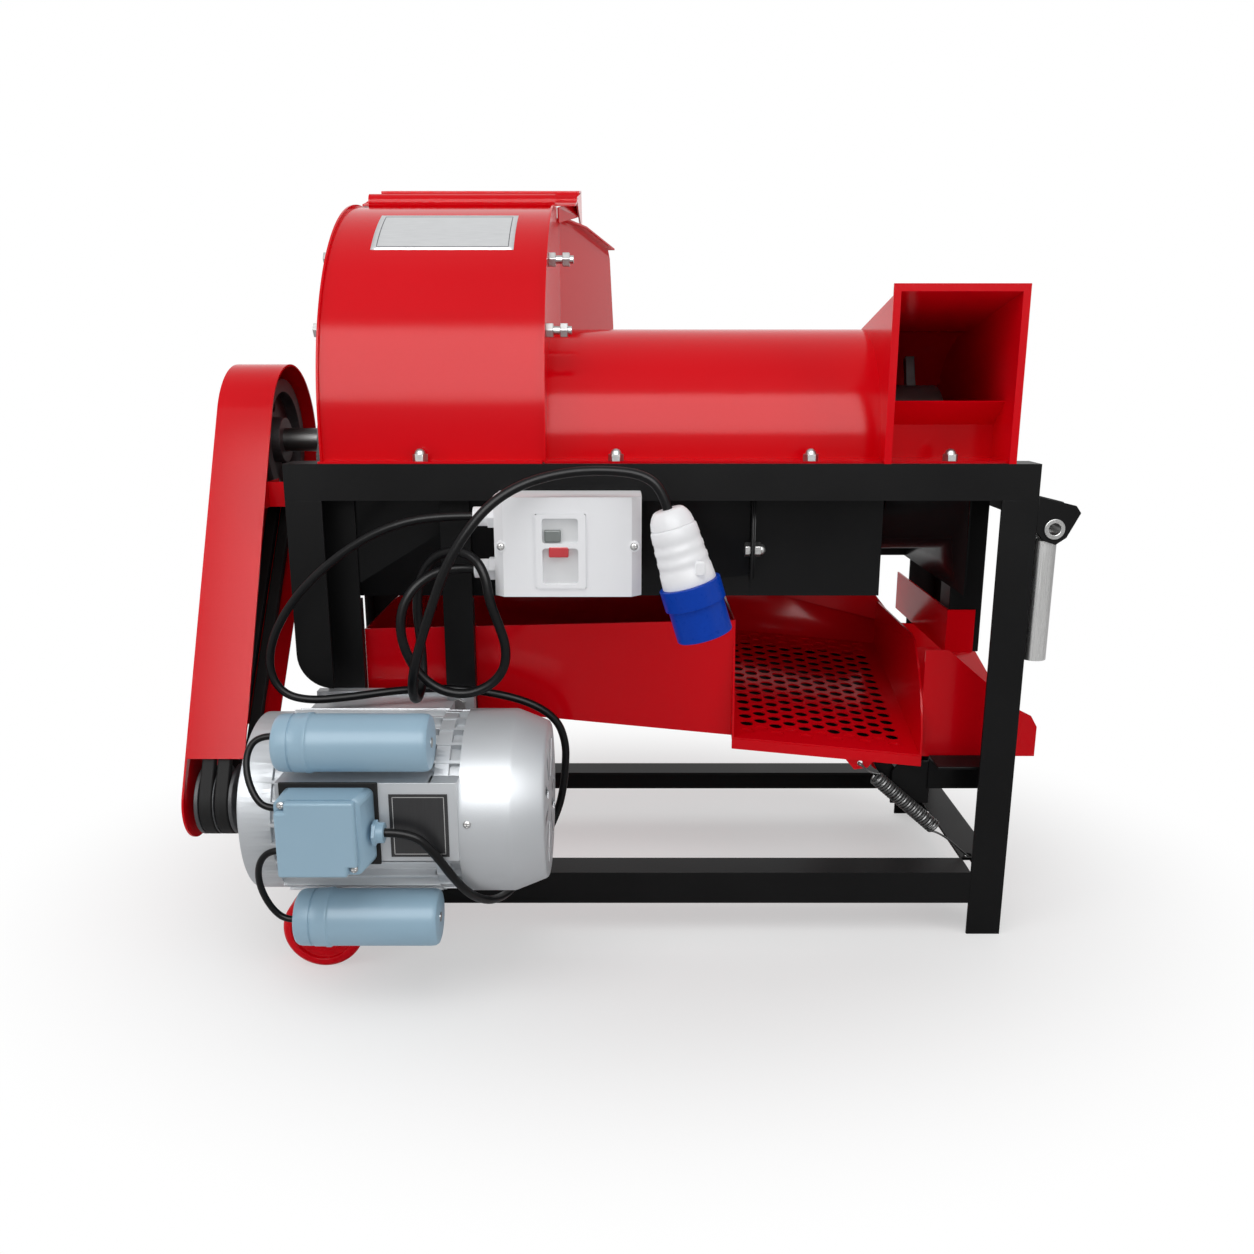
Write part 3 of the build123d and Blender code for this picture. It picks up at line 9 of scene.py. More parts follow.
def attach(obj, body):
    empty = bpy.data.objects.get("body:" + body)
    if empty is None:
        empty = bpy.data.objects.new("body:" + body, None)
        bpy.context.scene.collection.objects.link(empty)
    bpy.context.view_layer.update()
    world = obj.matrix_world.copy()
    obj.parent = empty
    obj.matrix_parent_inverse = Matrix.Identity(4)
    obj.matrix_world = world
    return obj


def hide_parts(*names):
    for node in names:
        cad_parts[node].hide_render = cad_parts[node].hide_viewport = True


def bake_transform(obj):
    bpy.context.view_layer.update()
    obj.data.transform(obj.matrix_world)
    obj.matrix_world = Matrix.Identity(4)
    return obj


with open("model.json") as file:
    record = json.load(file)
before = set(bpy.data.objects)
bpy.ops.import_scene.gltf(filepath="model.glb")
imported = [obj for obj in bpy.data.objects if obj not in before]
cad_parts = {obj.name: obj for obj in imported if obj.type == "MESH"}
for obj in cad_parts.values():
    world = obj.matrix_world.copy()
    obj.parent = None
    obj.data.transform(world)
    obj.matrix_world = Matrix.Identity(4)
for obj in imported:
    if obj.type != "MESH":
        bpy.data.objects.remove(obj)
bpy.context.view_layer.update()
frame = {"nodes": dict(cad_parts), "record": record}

body_of = {node: body for body, nodes in frame["record"]["behaviour"]["bodies"].items() for node in nodes}


# The stand
# A welded frame of 35 mm angle iron, with folded uprights for the motor and a guard post at the right.
# It is sprayed with a semi-gloss black that runs smooth over the rolled steel and shows a faint grain.

class Term:
    """A value inside a finish, which can be added and multiplied like a number."""

    def __init__(self, finish, socket):
        self.finish = finish
        self.socket = socket

    def join(self, operation, first, second):
        return self.finish.node("ShaderNodeMath", {"operation": operation}, [first, second])

    def __add__(self, other):
        return self.join("ADD", self, other)

    __radd__ = __add__

    def __mul__(self, other):
        return self.join("MULTIPLY", self, other)

    __rmul__ = __mul__

    def __sub__(self, other):
        return self.join("SUBTRACT", self, other)

    def __rsub__(self, other):
        return self.join("SUBTRACT", other, self)


class Finish:
    """One surface finish of the machine."""

    def __init__(self, name):
        self.material = bpy.data.materials.new(name)
        self.material.use_nodes = True
        self.tree = self.material.node_tree
        self.tree.nodes.clear()
        self.shader = self.tree.nodes.new("ShaderNodeBsdfPrincipled")
        self.out = self.tree.nodes.new("ShaderNodeOutputMaterial")
        self.tree.links.new(self.shader.outputs[0], self.out.inputs[0])
        self.place = self.node("ShaderNodeTexCoord", output="Object")

    def put(self, socket, value):
        if isinstance(value, Term):
            self.tree.links.new(value.socket, socket)
        elif isinstance(value, tuple) and socket.type == "RGBA":
            socket.default_value = (*value, 1.0)
        else:
            socket.default_value = value

    def node(self, kind, settings=None, values=None, output=0):
        made = self.tree.nodes.new(kind)
        for key, value in (settings or {}).items():
            setattr(made, key, value)
        pairs = values.items() if isinstance(values, dict) else enumerate(values or [])
        for key, value in pairs:
            self.put(made.inputs[key], value)
        return Term(self, made.outputs[output])

    def noise(self, scale, detail=2.0, place=None):
        return self.node("ShaderNodeTexNoise", None, {"Vector": place or self.place, "Scale": scale, "Detail": detail})

    def stretched(self, x, y, z):
        return self.node("ShaderNodeMapping", None, {"Vector": self.place, "Scale": (x, y, z)})

    def mix(self, factor, first, second):
        return self.node("ShaderNodeMix", {"data_type": "RGBA"}, {0: factor, 6: first, 7: second}, 2)

    def bump(self, height, strength, depth):
        return self.node("ShaderNodeBump", None, {"Strength": strength, "Distance": depth, "Height": height})

    def surface(self, **values):
        for key, value in values.items():
            self.put(self.shader.inputs[key.replace("_", " ")], value)
        return self.material


def black_satin(name, tone, gloss):
    coat = Finish(name)
    cloud = coat.noise(9.0, 3.0)
    grain = coat.noise(700.0, 2.0)
    return coat.surface(
        **{"Base Color": coat.mix(cloud, (tone * 0.75, tone * 0.75, tone * 0.78), (tone * 1.3, tone * 1.3, tone * 1.35)),
           "Roughness": cloud * 0.14 + gloss, "Normal": coat.bump(grain, 0.12, 0.0004),
           "Specular IOR Level": 0.08})


stand_black = black_satin("stand_black", 0.0065, 0.3)


def dressed(node, finish, bevel=0.0, segments=2, sharp=32.0, flat=0.4):
    """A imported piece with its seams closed, its curves shaded smooth and its edges slightly rounded."""
    mesh = frame["nodes"][node].data.copy()
    work = bmesh.new()
    work.from_mesh(mesh)
    bmesh.ops.remove_doubles(work, verts=work.verts, dist=2e-6)
    if flat:
        bmesh.ops.dissolve_limit(work, angle_limit=math.radians(flat), verts=work.verts, edges=work.edges)
    work.to_mesh(mesh)
    work.free()
    mesh.materials.clear()
    mesh.materials.append(finish)
    mesh.shade_smooth()
    mesh.set_sharp_from_angle(angle=math.radians(sharp))
    piece = bpy.data.objects.new(node + "_finished", mesh)
    bpy.context.scene.collection.objects.link(piece)
    if bevel:
        edges = piece.modifiers.new("rounded_edges", "BEVEL")
        edges.width = bevel
        edges.segments = segments
        edges.limit_method = "ANGLE"
        edges.angle_limit = math.radians(sharp)
    settle(piece, body_of[node], node)
    return piece


def settle(piece, body, *nodes, slot=None):
    """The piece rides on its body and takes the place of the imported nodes."""
    if nodes:
        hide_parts(*nodes)
    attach(piece, body)


for node in ("top_rails", "legs", "lower_rails", "motor_uprights", "end_post", "rocker_brackets"):
    dressed(node, stand_black, bevel=0.0012)
dressed("handle_brackets", stand_black, bevel=0.0008)
for node in ("thrower_trough", "middle_trough", "hopper_trough", "concave"):
    dressed(node, black_satin(node + "_black", 0.010, 0.16), flat=0.0)
for node in ("left_rocker", "right_rocker"):
    dressed(node, stand_black, bevel=0.0008)


# The red housings
# Thrower scroll, discharge chute, hood, drum cover, hopper, belt guard and tray are bent from 2 mm sheet.
# They carry a glossy red powder coat, whose fine orange peel shows where a lamp glances off it.

def red_coat(name, tone):
    coat = Finish(name)
    cloud = coat.noise(4.0, 2.0)
    peel = coat.noise(420.0, 1.5)
    return coat.surface(
        **{"Base Color": coat.mix(cloud, tuple(tone * c for c in (0.62, 0.0006, 0.005)),
                                  tuple(tone * c for c in (0.72, 0.0010, 0.008))),
           "Roughness": cloud * 0.05 + 0.13, "Normal": coat.bump(peel, 0.05, 0.0005),
           "Specular IOR Level": 0.12})


housing_red = red_coat("housing_red", 1.0)
for node in ("thrower_cover", "thrower_end_plates", "discharge_chute", "deflector_hood", "drum_cover", "hopper",
             "belt_guard", "shaker_tray", "end_guard"):
    dressed(node, housing_red)


def folded(name, profile, x0, x1, finish):
    """A sheet folded along the machine's length: its outline in depth and height, from one end to the other."""
    work = bmesh.new()
    left = [work.verts.new(origin(x0, y, z)) for y, z in profile]
    right = [work.verts.new(origin(x1, y, z)) for y, z in profile]
    count = len(profile)
    for k in range(count):
        n = (k + 1) % count
        work.faces.new((left[k], left[n], right[n], right[k]))
    work.faces.new(left)
    work.faces.new(right)
    bmesh.ops.recalc_face_normals(work, faces=work.faces)
    mesh = bpy.data.meshes.new(name)
    work.to_mesh(mesh)
    work.free()
    mesh.materials.append(finish)
    mesh.shade_smooth()
    mesh.set_sharp_from_angle(angle=math.radians(32))
    piece = bpy.data.objects.new(name, mesh)
    bpy.context.scene.collection.objects.link(piece)
    return piece


def origin(x, y, z):
    """A place on the machine, in millimetres from the frame's middle, front and foot, in the row's metres."""
    return Vector(((x + 23.75) / 1000, (y - 155.0) / 1000, z / 1000))


hinge_y, hinge_z = 247.0, 762.0
lip_turns = [math.radians(246 - 12 * k) for k in range(13)]
lip = [(hinge_y + 9.4 * math.cos(a), hinge_z + 9.4 * math.sin(a)) for a in lip_turns]
lip += [(hinge_y + 8.1 * math.cos(a), hinge_z + 8.1 * math.sin(a)) for a in reversed(lip_turns)]
settle(folded("hinge_lip", lip, -320.0, -113.0, housing_red), "frame", slot="red_paint")
gusset = [(256, 758), (259, 741), (314, 755), (361, 760.5), (361, 782), (289, 770)]
settle(folded("left_hood_gusset", gusset, -332.6, -331.1, housing_red), "hood", slot="red_paint")
end_places = [(-110.0, 250.0, 757.5), (-110.0, 255.0, 742.0), (-92.5, 314.0, 756.0), (-92.5, 361.0, 761.5),
              (-92.5, 361.0, 780.0), (-92.5, 289.0, 768.5)]
work = bmesh.new()
corners = [work.verts.new(origin(*place)) for place in end_places]
for k in range(1, 5):
    work.faces.new((corners[0], corners[k], corners[k + 1]))
mesh = bpy.data.meshes.new("right_hood_gusset")
work.to_mesh(mesh)
work.free()
mesh.materials.append(housing_red)
hood_end = bpy.data.objects.new("right_hood_gusset", mesh)
bpy.context.scene.collection.objects.link(hood_end)
hood_end.modifiers.new("sheet", "SOLIDIFY").thickness = 0.0015
settle(hood_end, "hood", slot="red_paint")


# The thrower's rating label
# A silver foil label stuck on the thrower's front, where the sheet curls over. It is left bare inside its border.

foil = Finish("label_foil")
foil_grain = foil.noise(1.0, 3.0, foil.stretched(60.0, 900.0, 900.0))
foil.surface(**{"Base Color": foil.mix(foil_grain, (0.50, 0.51, 0.52), (0.66, 0.67, 0.68)), "Metallic": 0.45,
                "Roughness": foil_grain * 0.12 + 0.34, "Normal": foil.bump(foil_grain, 0.06, 0.0002)})


ink = Finish("label_border")
ink.surface(**{"Base Color": ink.mix(ink.noise(300.0), (0.05, 0.05, 0.06), (0.10, 0.10, 0.11)),
               "Roughness": ink.noise(200.0) * 0.1 + 0.4})


def on_scroll(name, x0, x1, low, high, lift, finish):
    """A thin patch that follows the scroll from one angle to another."""
    pivot_y, pivot_z, scroll_radius = 245.0, 530.0, 225.0
    columns, rows = 24, 12
    work = bmesh.new()
    grid = []
    for i in range(columns + 1):
        line = []
        for j in range(rows + 1):
            angle = math.radians(low + (high - low) * j / rows)
            radius = scroll_radius + lift
            y, z = pivot_y - radius * math.cos(angle), pivot_z + radius * math.sin(angle)
            line.append(work.verts.new(origin(x0 + (x1 - x0) * i / columns, y, z)))
        grid.append(line)
    for i in range(columns):
        for j in range(rows):
            work.faces.new((grid[i][j], grid[i + 1][j], grid[i + 1][j + 1], grid[i][j + 1]))
    bmesh.ops.recalc_face_normals(work, faces=work.faces)
    mesh = bpy.data.meshes.new(name)
    work.to_mesh(mesh)
    work.free()
    mesh.materials.append(finish)
    mesh.shade_smooth()
    piece = bpy.data.objects.new(name, mesh)
    bpy.context.scene.collection.objects.link(piece)
    thick = piece.modifiers.new("foil", "SOLIDIFY")
    thick.thickness = 0.0002
    thick.offset = -1.0
    return piece


label_left, label_right, label_low, label_high = -288.0, -146.0, 48.0, 67.0
settle(on_scroll("rating_label", label_left, label_right, label_low, label_high, 0.25, foil.material), "frame",
       slot="bright_steel")
edge, line_width, degree = 5.0, 0.8, 3.93
border = []
for low, high in ((label_low, label_low), (label_high, label_high)):
    inward = 1.2 if low == label_low else -1.2 - line_width / degree
    border.append(on_scroll("border_line", label_left + edge, label_right - edge, low + inward,
                            low + inward + line_width / degree, 0.4, ink.material))
for x in (label_left + edge, label_right - edge - line_width):
    border.append(on_scroll("border_line", x, x + line_width, label_low + 1.2, label_high - 1.2, 0.4, ink.material))
for line in border:
    settle(line, "frame", slot="black_paint")


# Bright steel
# Zinc-plated bolts with domed nuts hold the covers, and the shafts, pins and handle tubes are drawn steel.
# The plating is slightly mottled and the drawn bars have faint lines along their length.

def bright(name, tone, gloss, lines=None):
    steel = Finish(name)
    streak = steel.noise(1.0, 3.0, steel.stretched(*(lines or (300.0, 300.0, 300.0))))
    return steel.surface(
        **{"Base Color": steel.mix(streak, (tone * 0.86, tone * 0.86, tone * 0.85), (tone, tone, tone * 0.99)),
           "Metallic": 1.0, "Roughness": streak * 0.16 + gloss, "Normal": steel.bump(streak, 0.05, 0.0002)})


zinc = bright("zinc_plate", 0.42, 0.24)
tube_steel = bright("tube_steel", 0.60, 0.2, (900.0, 900.0, 20.0))
for node in ("cover_bolts", "tie_bolts", "bearing_bolts", "motor_bolts", "handle_pins", "wheel_axles"):
    dressed(node, zinc, bevel=0.0005)
# The shafts, bearing rings and motor shaft are a near-black steel with faint lines along their length.
near_black_steel = bright("near_black_steel", 0.09, 0.3, (20.0, 900.0, 900.0))
for node in ("main_shaft", "bearing_rings", "motor_shaft"):
    dressed(node, near_black_steel, bevel=0.0005)
dressed("hood_hinge", housing_red, bevel=0.0005)
for node in ("front_handle", "rear_handle"):
    dressed(node, tube_steel, bevel=0.0005)


# Bearings and rotor
# The pillow blocks are cast iron under the stand's paint. The drum and its square teeth are welded steel,
# painted black and worn bright where the cobs rub.

casting = Finish("bearing_casting")
lumps = casting.noise(240.0, 4.0)
casting.surface(**{"Base Color": casting.mix(lumps, (0.02, 0.021, 0.023), (0.05, 0.052, 0.056)),
                   "Roughness": lumps * 0.2 + 0.42, "Normal": casting.bump(lumps, 0.35, 0.0006)})
dressed("pillow_blocks", casting.material, bevel=0.0015, segments=3)

worn = Finish("worn_rotor")
rubbed = worn.node("ShaderNodeMath", {"operation": "SMOOTH_MIN"}, [worn.noise(30.0, 5.0), 0.9, 0.1])
worn.surface(**{"Base Color": worn.mix(rubbed, (0.015, 0.015, 0.016), (0.10, 0.10, 0.10)),
                "Roughness": rubbed * 0.3 + 0.25, "Normal": worn.bump(rubbed, 0.1, 0.0005)})
for node in ("shelling_drum", "thrower_rotor"):
    dressed(node, worn.material, bevel=0.0006)
for node in ("driven_pulley", "motor_pulley"):
    dressed(node, casting.material, bevel=0.0006)


# V-belts
# Two rubber belts with a cloth cover, matt black with a fine twill.

rubber = Finish("belt_rubber")
twill = rubber.node("ShaderNodeTexWave", {"wave_type": "BANDS", "bands_direction": "DIAGONAL"},
                    {"Vector": rubber.place, "Scale": 260.0, "Distortion": 1.0})
rubber.surface(**{"Base Color": rubber.mix(twill, (0.006, 0.006, 0.006), (0.012, 0.012, 0.012)),
                  "Roughness": twill * 0.1 + 0.6, "Specular IOR Level": 0.15, "Normal": rubber.bump(twill, 0.2, 0.0003)})
dressed("v_belts", rubber.material, bevel=0.0012)


# The motor
# A finned aluminium barrel with a cast end shield and a pressed fan cover, all in silver paint.
# Its feet are bolted on the uprights, so the terminal box and both capacitors face the front.

silver = Finish("motor_silver")
speck = silver.noise(900.0, 3.0)
wash = silver.noise(12.0, 2.0)
silver.surface(**{"Base Color": silver.mix(wash, (0.47, 0.49, 0.51), (0.56, 0.58, 0.60)), "Metallic": 0.22,
                  "Roughness": speck * 0.12 + 0.34, "Specular IOR Level": 0.3, "Normal": silver.bump(speck, 0.18, 0.0003),
                  "Coat Weight": 0.0})
dressed("motor_body", silver.material, bevel=0.0005)
dressed("cooling_fan", rubber.material)


# Capacitors
# Two blue-grey moulded cans, start and run, each with a cap pressed over its left end.

def turned(name, profile, start, along, finish, steps=64, bevel=0.0, closed=False):
    """A turned piece: pairs of distance along the axis and radius, in millimetres, swept round it."""
    along = Vector(along).normalized()
    side = along.orthogonal().normalized()
    up = along.cross(side)
    work = bmesh.new()
    rings = []
    for distance, radius in profile:
        middle = start + along * distance / 1000
        if radius < 1e-6:
            rings.append([work.verts.new(middle)])
            continue
        rings.append([work.verts.new(middle + (side * math.cos(a) + up * math.sin(a)) * radius / 1000)
                      for a in (2 * math.pi * k / steps for k in range(steps))])
    pairs = list(zip(rings, rings[1:])) + ([(rings[-1], rings[0])] if closed else [])
    for low, high in pairs:
        for k in range(steps):
            n = (k + 1) % steps
            corners = [low[k % len(low)], low[n % len(low)], high[n % len(high)], high[k % len(high)]]
            corners = [v for i, v in enumerate(corners) if v not in corners[:i]]
            if len(corners) > 2:
                work.faces.new(corners)
    bmesh.ops.recalc_face_normals(work, faces=work.faces)
    mesh = bpy.data.meshes.new(name)
    work.to_mesh(mesh)
    work.free()
    mesh.materials.append(finish)
    mesh.shade_smooth()
    mesh.set_sharp_from_angle(angle=math.radians(35))
    piece = bpy.data.objects.new(name, mesh)
    bpy.context.scene.collection.objects.link(piece)
    if bevel:
        edges = piece.modifiers.new("rounded_edges", "BEVEL")
        edges.width = bevel
        edges.segments = 3
        edges.limit_method = "ANGLE"
        edges.angle_limit = math.radians(35)
    return piece


grey = Finish("grey_plastic")
mould = grey.noise(500.0, 2.0)
tint = grey.noise(14.0, 2.0)
grey.surface(**{"Base Color": grey.mix(tint, (0.300, 0.455, 0.570), (0.340, 0.495, 0.610)),
                "Roughness": mould * 0.1 + 0.28, "Specular IOR Level": 0.2, "Normal": grey.bump(mould, 0.06, 0.0003)})


def joined(name, pieces):
    """Several loose shapes made into one piece."""
    for piece in pieces:
        baked(piece)
    work = bmesh.new()
    for piece in pieces:
        work.from_mesh(piece.data)
    mesh = bpy.data.meshes.new(name)
    materials = list(pieces[0].data.materials)
    work.to_mesh(mesh)
    work.free()
    for material in materials:
        mesh.materials.append(material)
    mesh.shade_smooth()
    mesh.set_sharp_from_angle(angle=math.radians(35))
    for piece in pieces:
        bpy.data.objects.remove(piece)
    piece = bpy.data.objects.new(name, mesh)
    bpy.context.scene.collection.objects.link(piece)
    return piece


def baked(piece):
    """The piece's modifiers become its mesh."""
    bpy.context.view_layer.update()
    graph = bpy.context.evaluated_depsgraph_get()
    mesh = bpy.data.meshes.new_from_object(piece.evaluated_get(graph))
    piece.modifiers.clear()
    piece.data = mesh
    return piece


cans = []
for (x0, x1), z in (((-342.0, -205.0), 262.8), ((-335.0, -204.0), 93.2)):
    length = x1 - x0
    can = [(0.0, 0.0), (0.0, 21.5), (1.0, 23.6), (3.0, 25.0), (6.0, 25.6), (14.6, 25.8), (15.2, 25.1), (16.6, 25.1),
           (17.2, 26.2), (27.0, 26.3), (28.0, 26.9), (31.0, 26.9), (32.0, 26.0), (33.0, 25.7), (length - 8.0, 25.7),
           (length - 4.0, 25.2), (length - 1.6, 23.6), (length - 1.0, 21.8), (length - 1.0, 0.0)]
    cans.append(turned("can", can, origin(x0, -131.6, z), (1, 0, 0), grey.material))
capacitor_pair = joined("capacitor_cans", cans)
settle(capacitor_pair, "frame", "capacitors")
studs = []
for x1, z in ((-206.0, 262.8), (-205.0, 93.2)):
    stud = [(0.0, 0.0), (0.0, 4.5), (0.6, 4.5), (0.8, 3.2), (0.9, 0.0)]
    studs.append(turned("stud", stud, origin(x1, -131.6, z), (1, 0, 0), zinc, steps=24))
settle(joined("capacitor_studs", studs), "frame", slot="bright_steel")


# Terminal box
# A moulded box with a rounded lid on a black gasket, held by two cross-head screws at opposite corners.

dressed("terminal_box", grey.material, flat=0.0)


def board(name, corners, y, thick, finish, bevel=0.0):
    """A plate that faces the front, from its corners in X and Z, with rounded edges."""
    work = bmesh.new()
    face = work.faces.new([work.verts.new(origin(x, y, z)) for x, z in corners])
    made = bmesh.ops.extrude_face_region(work, geom=[face])
    for vert in [v for v in made["geom"] if isinstance(v, bmesh.types.BMVert)]:
        vert.co.y -= thick / 1000
    bmesh.ops.recalc_face_normals(work, faces=work.faces)
    mesh = bpy.data.meshes.new(name)
    work.to_mesh(mesh)
    work.free()
    mesh.materials.append(finish)
    mesh.shade_smooth()
    mesh.set_sharp_from_angle(angle=math.radians(50))
    piece = bpy.data.objects.new(name, mesh)
    bpy.context.scene.collection.objects.link(piece)
    if bevel:
        edges = piece.modifiers.new("rounded_edges", "BEVEL")
        edges.width = bevel
        edges.segments = 4
        edges.limit_method = "ANGLE"
        edges.angle_limit = math.radians(40)
    return piece


lid_left, lid_right, lid_foot, lid_top, notch = -334.5, -265.5, 156.5, 225.5, 9.0
lid_corners = [(lid_left, lid_foot), (lid_right - notch, lid_foot), (lid_right - notch, lid_foot + notch),
               (lid_right, lid_foot + notch), (lid_right, lid_top), (lid_left + notch, lid_top),
               (lid_left + notch, lid_top - notch), (lid_left, lid_top - notch)]
settle(board("terminal_lid_cover", lid_corners, -172.0, 8.0, grey.material, bevel=0.0022), "frame", "terminal_lid")
gasket_corners = [(-340.0, 152.5), (-253.0, 152.5), (-253.0, 230.5), (-340.0, 230.5)]


class Pattern:
    """A Geometry Nodes tree, with named sizes, for pieces that repeat."""

    def __init__(self, name, **sizes):
        self.tree = bpy.data.node_groups.new(name, "GeometryNodeTree")
        self.tree.interface.new_socket("Geometry", in_out="INPUT", socket_type="NodeSocketGeometry")
        self.tree.interface.new_socket("Geometry", in_out="OUTPUT", socket_type="NodeSocketGeometry")
        self.names = {}
        for key, value in sizes.items():
            kind = "NodeSocketInt" if isinstance(value, int) else "NodeSocketFloat"
            item = self.tree.interface.new_socket(key, in_out="INPUT", socket_type=kind)
            item.default_value = value
            self.names[key] = item.identifier
        self.start = self.tree.nodes.new("NodeGroupInput")
        self.end = self.tree.nodes.new("NodeGroupOutput")

    def size(self, key):
        return self.start.outputs[key]

    def node(self, kind, settings=None, values=None, output=0):
        made = self.tree.nodes.new(kind)
        for key, value in (settings or {}).items():
            setattr(made, key, value)
        for key, value in (values or {}).items():
            if isinstance(value, bpy.types.NodeSocket):
                self.tree.links.new(value, made.inputs[key])
            else:
                made.inputs[key].default_value = value
        return made.outputs[output]

    def gather(self, sockets):
        join = self.tree.nodes.new("GeometryNodeJoinGeometry")
        for socket in sockets:
            self.tree.links.new(socket, join.inputs[0])
        return join.outputs[0]

    def close(self, geometry, material):
        real = self.node("GeometryNodeRealizeInstances", None, {0: geometry})
        done = self.node("GeometryNodeSetMaterial", None, {"Geometry": real, "Material": material})
        self.tree.links.new(done, self.end.inputs[0])

    def make(self, name, places, **sizes):
        """The pattern's mesh, on the given points, as a plain piece."""
        mesh = bpy.data.meshes.new(name)
        mesh.from_pydata([tuple(place) for place in places], [], [])
        piece = bpy.data.objects.new(name, mesh)
        bpy.context.scene.collection.objects.link(piece)
        modifier = piece.modifiers.new("pattern", "NODES")
        modifier.node_group = self.tree
        for key, value in sizes.items():
            modifier[self.names[key]] = value
        baked(piece)
        piece.data.shade_smooth()
        piece.data.set_sharp_from_angle(angle=math.radians(35))
        return piece


def cut_away(piece, cutter):
    """The piece with the cutter's space taken out of it."""
    cut = piece.modifiers.new("cut", "BOOLEAN")
    cut.operation = "DIFFERENCE"
    cut.solver = "EXACT"
    cut.object = cutter
    baked(piece)
    bpy.data.objects.remove(cutter)
    piece.data.shade_smooth()
    piece.data.set_sharp_from_angle(angle=math.radians(32))
    return piece


def cross_head():
    """A pan head 7 mm across that faces the front, with a cross cut in it."""
    head = turned("screw_head", [(0.0, 0.0), (0.0, 3.5), (1.3, 3.5), (2.0, 3.0), (2.5, 2.0), (2.6, 0.0)], Vector((0, 0, 0)),
                  (0, -1, 0), zinc, 24)
    for wide, high in ((4.6, 1.0), (1.0, 4.6)):
        work = bmesh.new()
        for vert in bmesh.ops.create_cube(work, size=1.0)["verts"]:
            vert.co = Vector((vert.co.x * wide, vert.co.y * 2.6 - 2.9, vert.co.z * high)) / 1000
        mesh = bpy.data.meshes.new("cross")
        work.to_mesh(mesh)
        work.free()
        cross = bpy.data.objects.new("cross", mesh)
        bpy.context.scene.collection.objects.link(cross)
        head = cut_away(head, cross)
    return head


def cross_head_screws(head):
    """Pan-head screws that face the front, one on each point."""
    pattern = Pattern("cross_head_screws", size=1.0)
    shape = pattern.node("GeometryNodeObjectInfo", None, {"Object": head}, "Geometry")
    grown = pattern.node("ShaderNodeCombineXYZ", None, {"X": pattern.size("size"), "Y": pattern.size("size"),
                                                         "Z": pattern.size("size")})
    placed = pattern.node("GeometryNodeInstanceOnPoints", None,
                          {"Points": pattern.start.outputs[0], "Instance": shape, "Scale": grown})
    pattern.close(placed, zinc)
    return pattern


screw_head = cross_head()
screws = cross_head_screws(screw_head)
lid_screws = screws.make("terminal_lid_screws", [origin(-329.6, -171.9, 220.6), origin(-270.3, -171.9, 161.4)], size=1.0)
settle(lid_screws, "frame", slot="bright_steel")


# Motor plate
# A black anodised plate riveted beside the terminal box, left bare inside a fine silver border.

anodised = Finish("anodised_plate")
brushed = anodised.noise(1.0, 3.0, anodised.stretched(900.0, 900.0, 30.0))
anodised.surface(**{"Base Color": anodised.mix(brushed, (0.010, 0.010, 0.011), (0.020, 0.020, 0.022)),
                    "Roughness": brushed * 0.12 + 0.3, "Metallic": 0.0})


settle(board("box_gasket", gasket_corners, -143.3, 2.6, rubber.material, bevel=0.001), "frame", slot="belt_rubber")
plate_corners = [(-244.0, 159.0), (-192.0, 159.0), (-192.0, 219.0), (-244.0, 219.0)]
settle(board("motor_plate", plate_corners, -143.3, 0.8, anodised.material, bevel=0.0003), "frame", slot="black_paint")
rim_finish = bright("plate_rim", 0.5, 0.3)
for x0, x1, z0, z1 in ((-241.0, -195.0, 161.6, 162.2), (-241.0, -195.0, 215.8, 216.4),
                       (-241.0, -240.4, 161.6, 216.4), (-195.6, -195.0, 161.6, 216.4)):
    line = board("plate_line", [(x0, z0), (x1, z0), (x1, z1), (x0, z1)], -144.1, 0.15, rim_finish)
    settle(line, "frame", slot="bright_steel")


# Fan cover
# A spun steel cap in the motor's paint, pushed over the finned barrel and held by screws, with air slots behind.

def bars(name, boxes, finish, centre, turns):
    """Boxes in X, across and outwards, each turned round the motor's axis."""
    work = bmesh.new()
    for (x0, x1, half, r0, r1), turn in zip(boxes, turns):
        made = bmesh.ops.create_cube(work, size=1.0)["verts"]
        shape = Matrix.Rotation(turn, 4, "X") @ Matrix.Translation(((x0 + x1) / 2, 0, (r0 + r1) / 2))
        shape = shape @ Matrix.Diagonal((x1 - x0, 2 * half, r1 - r0, 1.0))
        for vert in made:
            place = shape @ vert.co
            vert.co = origin(place.x, centre[0] + place.y, centre[1] + place.z)
    mesh = bpy.data.meshes.new(name)
    work.to_mesh(mesh)
    work.free()
    mesh.materials.append(finish)
    piece = bpy.data.objects.new(name, mesh)
    bpy.context.scene.collection.objects.link(piece)
    return piece


motor_centre = (-55.0, 178.0)
cover_start, cover_profile = -184.0, [(0.0, 87.0), (44.0, 87.0), (47.0, 86.2), (73.0, 76.0), (75.0, 74.8), (76.0, 73.0),
                                      (76.0, 0.0), (74.4, 0.0), (74.4, 72.6), (46.0, 84.6), (0.0, 85.6)]
cap = turned("fan_cap", cover_profile, origin(cover_start, *motor_centre), (1, 0, 0), silver.material, 96, closed=True)
slots = bars("slots", [(-113.0, -103.0, 4.0, 22.0, 60.0)] * 12, silver.material, motor_centre,
             [math.pi * k / 6 for k in range(12)])
settle(cut_away(cap, slots), "frame", "fan_cover")
fin_turns = [2 * math.pi * (k + 0.5) / 28 for k in range(28)]
barrel_end = bars("barrel_fins", [(-209.0, -180.0, 1.5, 76.0, 87.0 - 1.6)] * 28, silver.material, motor_centre, fin_turns)
core = turned("barrel_core", [(0.0, 78.0), (0.0, 79.0), (29.0, 79.0), (29.0, 78.0)], origin(-209.0, *motor_centre),
              (1, 0, 0), silver.material, 96, closed=True)
